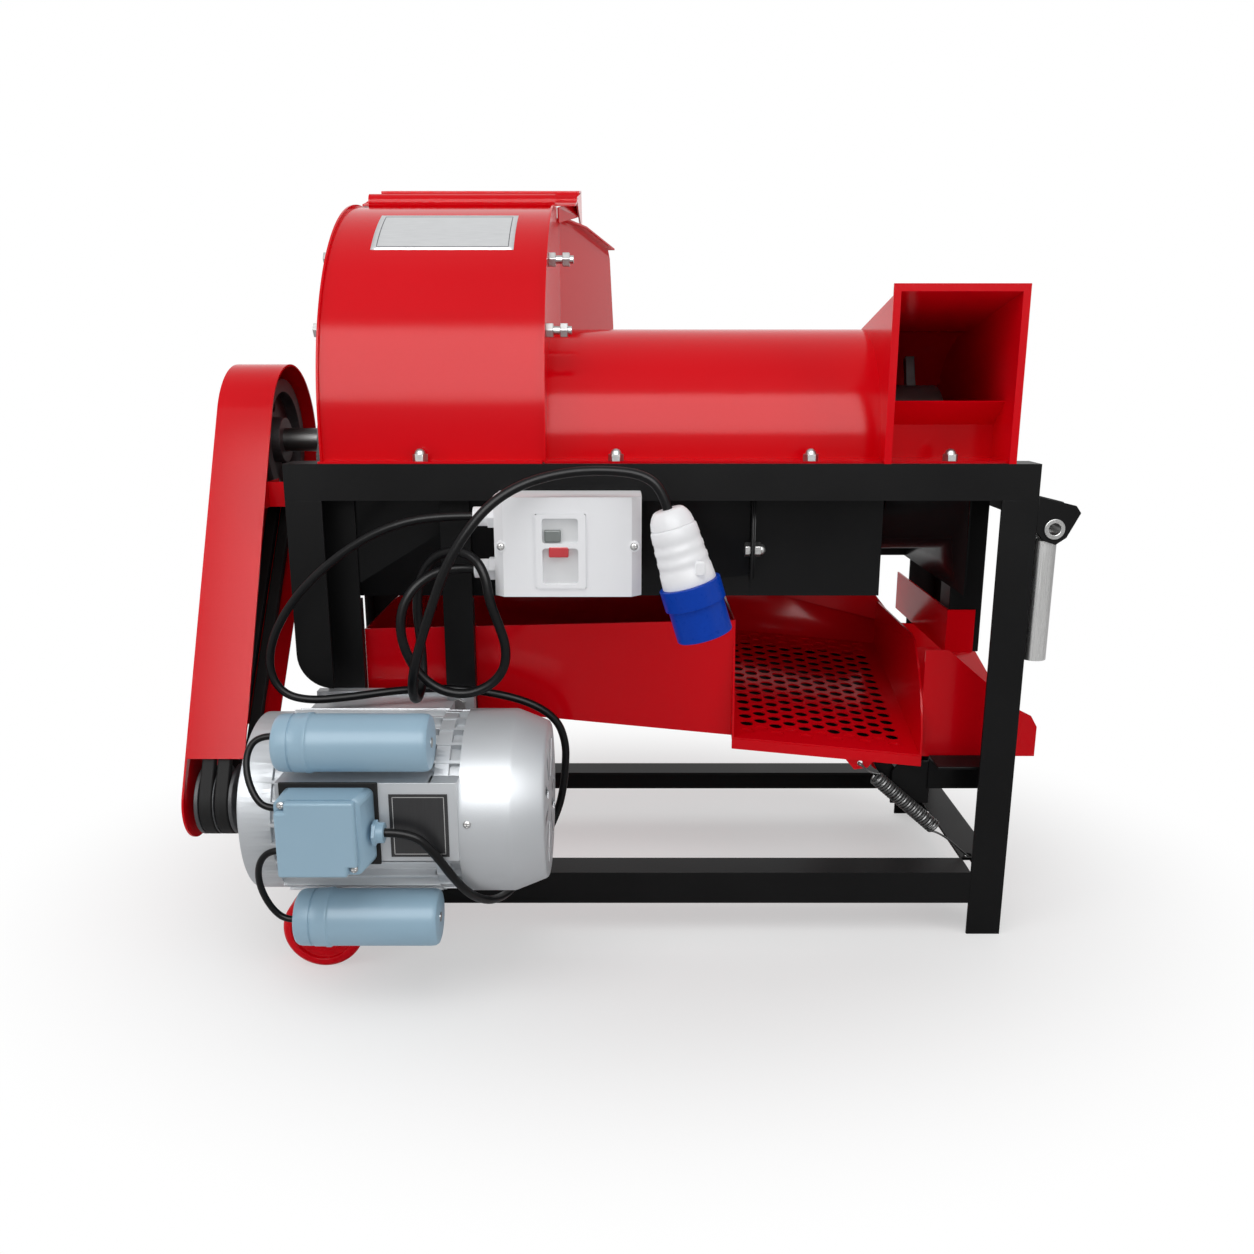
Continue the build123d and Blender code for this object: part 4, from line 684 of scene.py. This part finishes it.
pad = board("pad_end", [(-209.0, 155.0), (-183.6, 155.0), (-183.6, 229.0), (-209.0, 229.0)], -125.0, 17.8,
            silver.material)
skin = board("pad_face", [(-344.0, 154.8), (-183.6, 154.8), (-183.6, 229.2), (-344.0, 229.2)], -142.6, 0.7,
             silver.material, bevel=0.0003)
settle(joined("barrel_end", [barrel_end, core, pad, skin]), "frame", slot="motor_silver")
cap_screw = screws.make("fan_cap_screw", [origin(-176.0, -140.6, 189.0)], size=1.0)
settle(cap_screw, "frame", slot="bright_steel")


# The tray's screen
# A perforated sheet closes the spout's floor, punched in staggered rows, so the grain falls through.

def on_tray(x, y, lift):
    """A place above the underside of the tray's floor, which falls to the right and rises to the back."""
    floor_level, fall, rise = 243.0, 70.4 / 706.0, 60.0 / 224.0
    return origin(x, y, floor_level - (x + 305.0) * fall + (y - 51.0) * rise + lift)


def sheet_on_tray(name, x0, x1, y0, y1, low, high, finish):
    """A flat sheet that lies on the tray's slope, between two heights above the floor's underside."""
    corners = [(x0, y0), (x1, y0), (x1, y1), (x0, y1)]
    work = bmesh.new()
    under = [work.verts.new(on_tray(x, y, low)) for x, y in corners]
    over = [work.verts.new(on_tray(x, y, high)) for x, y in corners]
    work.faces.new(under)
    work.faces.new(over)
    for k in range(4):
        work.faces.new((under[k], under[(k + 1) % 4], over[(k + 1) % 4], over[k]))
    bmesh.ops.recalc_face_normals(work, faces=work.faces)
    mesh = bpy.data.meshes.new(name)
    work.to_mesh(mesh)
    work.free()
    mesh.materials.append(finish)
    piece = bpy.data.objects.new(name, mesh)
    bpy.context.scene.collection.objects.link(piece)
    return piece


def punches():
    """The oval punches that open the screen's holes, one on each point."""
    pattern = Pattern("screen_punches", radius=0.0071, depth=0.02, squash=0.66)
    punch = pattern.node("GeometryNodeMeshCylinder", None,
                         {"Vertices": 16, "Radius": pattern.size("radius"), "Depth": pattern.size("depth")})
    oval = pattern.node("ShaderNodeCombineXYZ", None, {"X": 1.0, "Y": pattern.size("squash"), "Z": 1.0})
    flat = pattern.node("GeometryNodeTransform", None, {"Geometry": punch, "Scale": oval})
    placed = pattern.node("GeometryNodeInstanceOnPoints", None,
                          {"Points": pattern.start.outputs[0], "Instance": flat})
    pattern.close(placed, housing_red)
    return pattern


screen_left, screen_right, screen_front, screen_rear = 79.0, 276.0, 42.0, 272.5
hole_pitch, row_pitch = 31.5, 6.9
holes = []
for row in range(31):
    shift = hole_pitch / 2 if row % 2 else 0.0
    columns = [screen_left + 16.5 + shift + hole_pitch * column for column in range(6)]
    holes += [on_tray(x, screen_front + 14.5 + row_pitch * row, 2.8) for x in columns if x < screen_right - 15.0]
screen = sheet_on_tray("screen_sheet", screen_left, screen_right, screen_front, screen_rear, 2.05, 3.5, housing_red)
screen = cut_away(screen, punches().make("punches", holes))
settle(screen, "tray", "tray_screen")
# Under the screen lies a black sheet with low walls, a few millimetres down. It is painted shade: a dark sheet that
# stands for the shadow seen through the holes, so that they look dark.
pan_x, pan_y, pan_low = (screen_left + 3.0, screen_right - 3.0), (screen_front + 3.0, screen_rear - 3.0), -3.6
pan = [sheet_on_tray("pan", *pan_x, *pan_y, pan_low, pan_low + 1.0, stand_black)]
for x0, x1, y0, y1 in ((pan_x[0], pan_x[0] + 1, *pan_y), (pan_x[1] - 1, pan_x[1], *pan_y),
                       (*pan_x, pan_y[0], pan_y[0] + 1), (*pan_x, pan_y[1] - 1, pan_y[1])):
    pan.append(sheet_on_tray("pan_wall", x0, x1, y0, y1, pan_low, -0.05, stand_black))
settle(joined("screen_pan", pan), "tray", slot="black_paint")
rear_rise = [(78.0, 329.6), (278.0, 277.0), (300.0, 275.5), (297.0, 282.0), (273.0, 312.0), (260.0, 329.6)]
settle(board("tray_rear_rise", rear_rise, 275.0, 2.0, housing_red), "tray", slot="red_paint")
cheek_rise = [(91.0, 297.8), (275.0, 277.8), (275.0, 302.0), (110.0, 301.5)]
settle(folded("spout_cheek_rise", cheek_rise, 276.5, 278.5, housing_red), "tray", slot="red_paint")


# Tray springs
# Two black tension springs pull the tray's lugs towards the stand's lower rail, hooked at both ends.

spring_black = Finish("spring_steel")
oil = spring_black.noise(120.0, 2.0)
spring_black.surface(**{"Base Color": spring_black.mix(oil, (0.06, 0.06, 0.06), (0.14, 0.14, 0.14)), "Metallic": 0.8,
                        "Roughness": oil * 0.2 + 0.3, "Normal": spring_black.bump(oil, 0.05, 0.0002)})


def coil_pattern():
    """Wire wound along Z, close together."""
    pattern = Pattern("coil_spring", turns=30.0, radius=0.0069, length=0.087, wire=0.0011)
    spiral = pattern.node("GeometryNodeCurveSpiral", None, {
        "Resolution": 18, "Rotations": pattern.size("turns"), "Start Radius": pattern.size("radius"),
        "End Radius": pattern.size("radius"), "Height": pattern.size("length")})
    section = pattern.node("GeometryNodeCurvePrimitiveCircle", None,
                           {"Resolution": 7, "Radius": pattern.size("wire")})
    wire = pattern.node("GeometryNodeCurveToMesh", None,
                        {"Curve": spiral, "Profile Curve": section, "Fill Caps": True})
    pattern.close(wire, spring_black.material)
    return pattern


coil = coil_pattern()


def wire_path(name, points, radius, finish):
    """A bent wire through the given places."""
    curve = bpy.data.curves.new(name, "CURVE")
    curve.dimensions = "3D"
    spline = curve.splines.new("NURBS")
    spline.points.add(len(points) - 1)
    for knot, place in zip(spline.points, points):
        knot.co = (*place, 1.0)
    spline.order_u = 3
    spline.use_endpoint_u = True
    curve.bevel_depth = radius
    curve.bevel_resolution = 3
    curve.use_fill_caps = True
    curve.materials.append(finish)
    made = bpy.data.objects.new(name, curve)
    bpy.context.scene.collection.objects.link(made)
    mesh = bpy.data.meshes.new_from_object(made.evaluated_get(bpy.context.evaluated_depsgraph_get()))
    bpy.data.objects.remove(made)
    piece = bpy.data.objects.new(name, mesh)
    bpy.context.scene.collection.objects.link(piece)
    return piece


def tray_spring(name, lug_y, hook_y):
    """One spring between the tray's lug and the hole in the lower rail."""
    top = origin(214.0, lug_y, 176.0)
    foot = origin(336.0, hook_y, 69.5)
    along = (foot - top).normalized()
    middle = top + along * 0.066
    wound = coil.make(name + "_coil", [(0, 0, 0)], turns=26.0, length=0.087, wire=0.0014)
    turn = along.to_track_quat("Z", "Y").to_matrix().to_4x4()
    wound.data.transform(Matrix.Translation(middle - along * 0.0435) @ turn)
    side = along.cross(Vector((0, 1, 0))).normalized() * 0.0058
    out = 0.004 if hook_y > 158 else -0.004
    upper = wire_path(name + "_upper", [middle - along * 0.0435 + side, middle - along * 0.052, top + along * 0.006,
                                        top - along * 0.003 + Vector((0, out, 0)), top - along * 0.003 - Vector((0, out, 0)),
                                        top + along * 0.005 - Vector((0, out, 0))], 0.0011, spring_black.material)
    lower = wire_path(name + "_lower", [middle + along * 0.0435 - side, middle + along * 0.052, foot - along * 0.006,
                                        foot + along * 0.004], 0.0011, spring_black.material)
    return joined(name, [wound, upper, lower])


pair = joined("tray_spring_pair", [tray_spring("front_spring", 39.0, 42.0), tray_spring("rear_spring", 277.0, 274.0)])
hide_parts("tray_springs")
tuple(origin(336.0, 158.0, 69.5))
tuple(origin(214.0, 158.0, 176.0))
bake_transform(pair)


# Wheels
# Moulded red plastic wheels with a round tread, a dished face and a hub, turning on fixed axles.

wheel_red = Finish("wheel_plastic")
flow = wheel_red.noise(60.0, 2.0)
wheel_red.surface(**{"Base Color": wheel_red.mix(flow, (0.62, 0.001, 0.007), (0.74, 0.002, 0.011)),
                     "Roughness": flow * 0.12 + 0.22, "Specular IOR Level": 0.12, "Normal": wheel_red.bump(flow, 0.04, 0.0004)})
rim = [(5.2, 6.1), (0.8, 6.1), (0.4, 6.6), (0.4, 11.2), (0.9, 11.8), (4.8, 12.2), (5.0, 13.0), (4.2, 21.5), (3.2, 22.3),
       (3.2, 23.2), (4.4, 24.0), (5.0, 30.0), (4.6, 30.8), (0.8, 31.2), (0.2, 31.8), (0.0, 35.8), (0.5, 37.0), (2.6, 39.4),
       (4.2, 40.0)]
tyre = rim + [(28.0 - distance, radius) for distance, radius in reversed(rim)]
for name, y, step in (("front_wheel", -64.0, 1), ("rear_wheel", 380.0, -1)):
    roller = turned(name + "_moulding", tyre, origin(-336.0, y, 40.0), (0, step, 0), wheel_red.material, 96, closed=True)
    settle(roller, name, name)


# Switch box
# A white moulded starter box under the front rail: a back shell, a lid with a recessed window, two keys.

white = Finish("white_plastic")
skin = white.noise(600.0, 2.0)
hue = white.noise(8.0, 2.0)
white.surface(**{"Base Color": white.mix(hue, (0.88, 0.89, 0.91), (0.93, 0.93, 0.95)),
                 "Roughness": skin * 0.1 + 0.28, "Specular IOR Level": 0.15, "Normal": white.bump(skin, 0.04, 0.0003)})
dressed("switch_box", white.material, bevel=0.0025, segments=4)
dressed("switch_lid", white.material, flat=0.0, sharp=20.0)


def round_corners(x0, x1, z0, z1, radius):
    """The outline of a plate with round corners."""
    corners = ((x1 - radius, z1 - radius, 0), (x0 + radius, z1 - radius, 90), (x0 + radius, z0 + radius, 180),
               (x1 - radius, z0 + radius, 270))
    return [(cx + radius * math.cos(math.radians(first + 18 * k)), cz + radius * math.sin(math.radians(first + 18 * k)))
            for cx, cz, first in corners for k in range(6)]


bezel = board("key_bezel", round_corners(-116.9, -71.1, 386.1, 454.9, 2.0), -52.05, 5.6, white.material)
for low, high in ((390.0, 423.5), (428.0, 451.0)):
    bezel = cut_away(bezel, board("window", round_corners(-111.0, -78.0, low, high, 3.0), -51.5, 8.0, white.material))
settle(bezel, "frame", slot="white_plastic")
# The window's floor is painted shade: a pale grey copy of the lid's white plastic, darker than the lid, for the shade
# in the recess.
shade = Finish("window_floor")
shade.surface(**{"Base Color": shade.mix(shade.noise(60.0), (0.66, 0.67, 0.68), (0.74, 0.75, 0.76)),
                 "Roughness": shade.noise(300.0) * 0.1 + 0.4})
window_floor = board("window_floor", round_corners(-114.0, -75.0, 388.0, 453.0, 2.0), -52.02, 0.4, shade.material)
settle(window_floor, "frame", slot="white_plastic")

start_finish = Finish("start_key")
start_finish.surface(**{"Base Color": start_finish.mix(start_finish.noise(90.0), (0.14, 0.16, 0.155), (0.19, 0.21, 0.20)),
                        "Roughness": start_finish.noise(300.0) * 0.1 + 0.32})
stop_finish = Finish("stop_key")
stop_finish.surface(**{"Base Color": stop_finish.mix(stop_finish.noise(90.0), (0.50, 0.02, 0.03), (0.62, 0.03, 0.04)),
                       "Roughness": stop_finish.noise(300.0) * 0.1 + 0.28})
dressed("start_button", start_finish.material, bevel=0.0012, segments=3)
dressed("stop_button", stop_finish.material, bevel=0.0012, segments=3)
bosses = []
for x in (-149.0, -27.0):
    boss = [(0.0, 0.0), (0.0, 5.6), (6.6, 5.2), (7.0, 4.6), (7.0, 0.0)]
    bosses.append(turned("boss", boss, origin(x, -49.6, 425.0), (0, -1, 0), white.material, 32))
settle(joined("lid_bosses", bosses), "frame", slot="white_plastic")
box_screws = screws.make("switch_box_screws", [origin(-149.0, -55.6, 425.0), origin(-27.0, -55.6, 425.0)], size=1.0)
settle(box_screws, "frame", slot="bright_steel")
bpy.data.objects.remove(screw_head)


# Cable glands
# White glands on the switch box and a grey one on the terminal box: a six-sided nut and a domed cap.

gland_set = dressed("cable_glands", white.material, bevel=0.001, segments=3)
gland_set.data.materials.append(grey.material)
box_edge = origin(-240.0, 0, 0).x
for face in gland_set.data.polygons:
    if face.center.x < box_edge and face.center.z < 0.3:
        face.material_index = 1


# Plug
# A round industrial plug: a ribbed white handle, a shoulder and a blue collar round the pins.

blue = Finish("blue_plastic")
sheen = blue.noise(300.0, 2.0)
blue.surface(**{"Base Color": blue.mix(sheen, (0.0, 0.040, 0.36), (0.0, 0.050, 0.44)),
                "Roughness": sheen * 0.1 + 0.24, "Specular IOR Level": 0.12, "Normal": blue.bump(sheen, 0.03, 0.0003)})
plug_start = origin(3.0, -70.0, 461.0)
plug_axis = origin(38.3, -70.0, 345.4) - plug_start
handle = [(0.0, 0.0), (0.0, 12.5), (1.0, 14.2), (4.0, 16.6), (8.0, 18.6), (9.0, 19.0), (15.0, 20.2), (16.2, 19.6),
          (16.8, 20.6), (18.0, 21.4)]
for rib in range(3):
    handle += [(27.0 + 11 * rib, 22.2 + 0.7 * rib), (28.2 + 11 * rib, 21.7 + 0.7 * rib), (33.0 + 11 * rib, 22.1 + 0.7 * rib),
               (34.2 + 11 * rib, 22.8 + 0.7 * rib)]
handle += [(66.0, 24.8), (69.6, 25.0), (70.1, 24.6), (70.1, 0.0)]
plug_handle = turned("plug_handle", handle, plug_start, plug_axis, white.material)
settle(plug_handle, "frame", "plug_body")
dressed("plug_collar", blue.material, bevel=0.0012, segments=3)
latch_nub = board("plug_latch", round_corners(27.0, 36.0, 405.0, 418.0, 3.0), -89.0, 6.0, white.material, bevel=0.0015)
settle(latch_nub, "frame", slot="white_plastic")


# Cords
# The power cord loops twice beside the switch box and runs over it to the plug. The motor lead drops behind
# the motor and comes up to the terminal box, and two short leads join the capacitors to it.

sheath = Finish("cord_sheath")
drawn = sheath.noise(160.0, 2.0)
sheath.surface(**{"Base Color": sheath.mix(drawn, (0.0035, 0.0035, 0.0038), (0.006, 0.006, 0.0065)),
                  "Roughness": drawn * 0.14 + 0.26, "Specular IOR Level": 0.14, "Normal": sheath.bump(drawn, 0.05, 0.0004)})


def cord_along(name, route, radius):
    """A round cord on one smooth line through its route."""
    curve = bpy.data.curves.new(name, "CURVE")
    curve.dimensions = "3D"
    spline = curve.splines.new("NURBS")
    spline.points.add(len(route) - 1)
    for knot, place in zip(spline.points, route):
        knot.co = (*origin(*place), 1.0)
    spline.order_u = 3
    spline.use_endpoint_u = True
    curve.resolution_u = 10
    curve.bevel_depth = radius / 1000
    curve.bevel_resolution = 5
    curve.use_fill_caps = True
    curve.materials.append(sheath.material)
    piece = bpy.data.objects.new(name, curve)
    bpy.context.scene.collection.objects.link(piece)
    return piece


power_route = [
    (3, -70, 461), (-2.5, -70, 479), (-18.5, -68, 491.5), (-46, -64, 495), (-80, -60, 494), (-112, -62, 488),
    (-138, -68, 478), (-160, -76, 462), (-178, -81, 440), (-196, -83, 411), (-211, -82, 372), (-224, -80, 334),
    (-232, -78, 303), (-234, -63, 280), (-233, -40, 276), (-232, -23, 292), (-233, -20, 322), (-236, -20, 356),
    (-232, -22, 388), (-216, -27, 411), (-194, -37, 419), (-174, -47, 413), (-164, -53, 396), (-161, -55, 373),
    (-153, -53, 350), (-147, -51, 329), (-149, -50, 307), (-163, -50, 290), (-187, -51, 281), (-214, -52, 287),
    (-234, -53, 307), (-245, -54, 335), (-245, -53, 362), (-234, -48, 384), (-217, -38, 396), (-199, -30, 400),
    (-177, -30, 400),
]
motor_route = [
    (-177, -28, 449), (-205, -28, 449), (-243, -30, 444), (-282, -30, 428), (-320, -30, 401), (-352, -30, 369),
    (-374, -30, 333), (-380, -30, 300), (-369, -29, 276), (-344, -27, 268), (-306, -22, 270), (-264, -10, 273),
    (-220, 0, 273), (-172, 6, 267), (-130, 8, 255), (-104, 10, 236), (-96, 12, 210), (-97, 17, 184),
    (-100, 23, 156), (-106, 26, 130), (-119, 16, 104), (-134, -12, 83), (-148, -42, 75), (-158, -70, 79),
    (-168, -97, 91), (-179, -124, 112), (-191, -141, 138), (-203, -153, 166), (-221, -156, 188), (-246, -156, 188),
]
upper_lead_route = [(-342, -138, 271), (-357, -138, 271), (-366, -144, 257), (-364, -152, 237), (-355, -158, 219),
                    (-346, -158, 212), (-336, -158, 212)]
lower_lead_route = [(-336, -158, 172), (-347, -158, 172), (-358, -156, 161), (-363, -150, 142), (-362, -143, 121),
                    (-355, -139, 103), (-345, -138, 94), (-335, -138, 94)]

power_cord = cord_along("power_cord_sheath", power_route, 4.5)
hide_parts("power_cord")
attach(power_cord, "frame")
tuple(origin(*power_route[-1]))

motor_lead = cord_along("motor_lead_sheath", motor_route, 4.0)
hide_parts("motor_lead")
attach(motor_lead, "frame")
tuple(origin(*motor_route[0]))

for name, route, length in (("upper_capacitor_lead", upper_lead_route, 0.093), ("lower_capacitor_lead", lower_lead_route, 0.110)):
    lead = cord_along(name, route, 3.0)
    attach(lead, "frame")
    tuple(origin(*route[0]))
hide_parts("capacitor_leads")


# Studio
# A white sweep with a soft shadow under the machine, one large lamp above and in front, and two fills.

floor_finish = Finish("studio_floor")
spread = floor_finish.node("ShaderNodeMapping", None, {"Vector": floor_finish.place, "Scale": (1.0, 1.35, 1.0)})
reach = floor_finish.node("ShaderNodeVectorMath", {"operation": "LENGTH"}, [spread], "Value")
fade = floor_finish.node("ShaderNodeMapRange", {"interpolation_type": "SMOOTHSTEP"},
                         {"Value": reach, "From Min": 0.35, "From Max": 0.78, "To Min": 0.45, "To Max": 1.0})
seen = floor_finish.node("ShaderNodeLightPath", output="Is Camera Ray")
floor_finish.surface(**{"Base Color": (0.84, 0.84, 0.84), "Roughness": 0.9, "Specular IOR Level": 0.0})
glow = floor_finish.node("ShaderNodeEmission", None, {"Color": (1.0, 1.0, 1.0), "Strength": 1.0})
mixed = floor_finish.node("ShaderNodeMixShader", None,
                          {0: fade * seen, 1: Term(floor_finish, floor_finish.shader.outputs[0]), 2: glow})
floor_finish.tree.links.new(mixed.socket, floor_finish.out.inputs[0])
floor_mesh = bpy.data.meshes.new("studio_floor")
floor_mesh.from_pydata([(-12, -12, 0), (12, -12, 0), (12, 12, 0), (-12, 12, 0)], [], [(0, 1, 2, 3)])
floor_mesh.materials.append(floor_finish.material)
floor = bpy.data.objects.new("studio_floor", floor_mesh)
bpy.context.scene.collection.objects.link(floor)

world = bpy.data.worlds.new("studio")
bpy.context.scene.world = world
world.use_nodes = True
sky = world.node_tree
sky.nodes.clear()
path = sky.nodes.new("ShaderNodeLightPath")
either = sky.nodes.new("ShaderNodeMath")
either.operation = "MAXIMUM"
sky.links.new(path.outputs["Is Camera Ray"], either.inputs[0])
sky.links.new(path.outputs["Is Transmission Ray"], either.inputs[1])
glossy = sky.nodes.new("ShaderNodeMath")
glossy.operation = "MULTIPLY_ADD"
sky.links.new(path.outputs["Is Glossy Ray"], glossy.inputs[0])
glossy.inputs[1].default_value = 0.55
glossy.inputs[2].default_value = 0.45
level = sky.nodes.new("ShaderNodeMix")
sky.links.new(either.outputs[0], level.inputs[0])
sky.links.new(glossy.outputs[0], level.inputs[2])
level.inputs[3].default_value = 1.0
backdrop = sky.nodes.new("ShaderNodeBackground")
backdrop.inputs["Color"].default_value = (1, 1, 1, 1)
sky.links.new(level.outputs[0], backdrop.inputs["Strength"])
ending = sky.nodes.new("ShaderNodeOutputWorld")
sky.links.new(backdrop.outputs[0], ending.inputs[0])


def lamp(name, place, target, width, height, power):
    light = bpy.data.lights.new(name, "AREA")
    light.shape = "RECTANGLE"
    light.size = width
    light.size_y = height
    light.energy = power
    holder = bpy.data.objects.new(name, light)
    holder.location = place
    holder.rotation_euler = (Vector(target) - Vector(place)).to_track_quat("-Z", "Y").to_euler()
    bpy.context.scene.collection.objects.link(holder)
    return holder


for fill in (lamp("top_lamp", (-0.3, -1.1, 2.3), (0, 0, 0.4), 2.2, 1.2, 18.0),
             lamp("left_fill", (-2.4, -1.3, 1.1), (0, 0, 0.4), 1.4, 1.6, 13.0),
             lamp("right_fill", (2.3, -1.5, 1.0), (0, 0, 0.4), 1.2, 1.6, 12.0),
             lamp("back_lamp", (0.3, 2.0, 1.9), (0, 0, 0.5), 2.0, 1.0, 10.0)):
    fill.visible_glossy = False
panel = lamp("reflected_panel", (0.0, -2.02, 1.68), (0.0, -0.13, 0.55), 2.6, 1.65, 125.0)
panel.visible_diffuse = False

camera = bpy.data.cameras.new("camera")
camera.lens = 30.57
camera.sensor_width = 36.0
camera.clip_start = 0.05
camera.clip_end = 60.0
viewer = bpy.data.objects.new("camera", camera)
viewer.location = (-0.00965, -1.175, 0.586)
viewer.rotation_euler = (math.radians(76.2), 0.0, 0.0)
bpy.context.scene.collection.objects.link(viewer)
bpy.context.scene.camera = viewer
bpy.context.scene.view_settings.view_transform = "Standard"
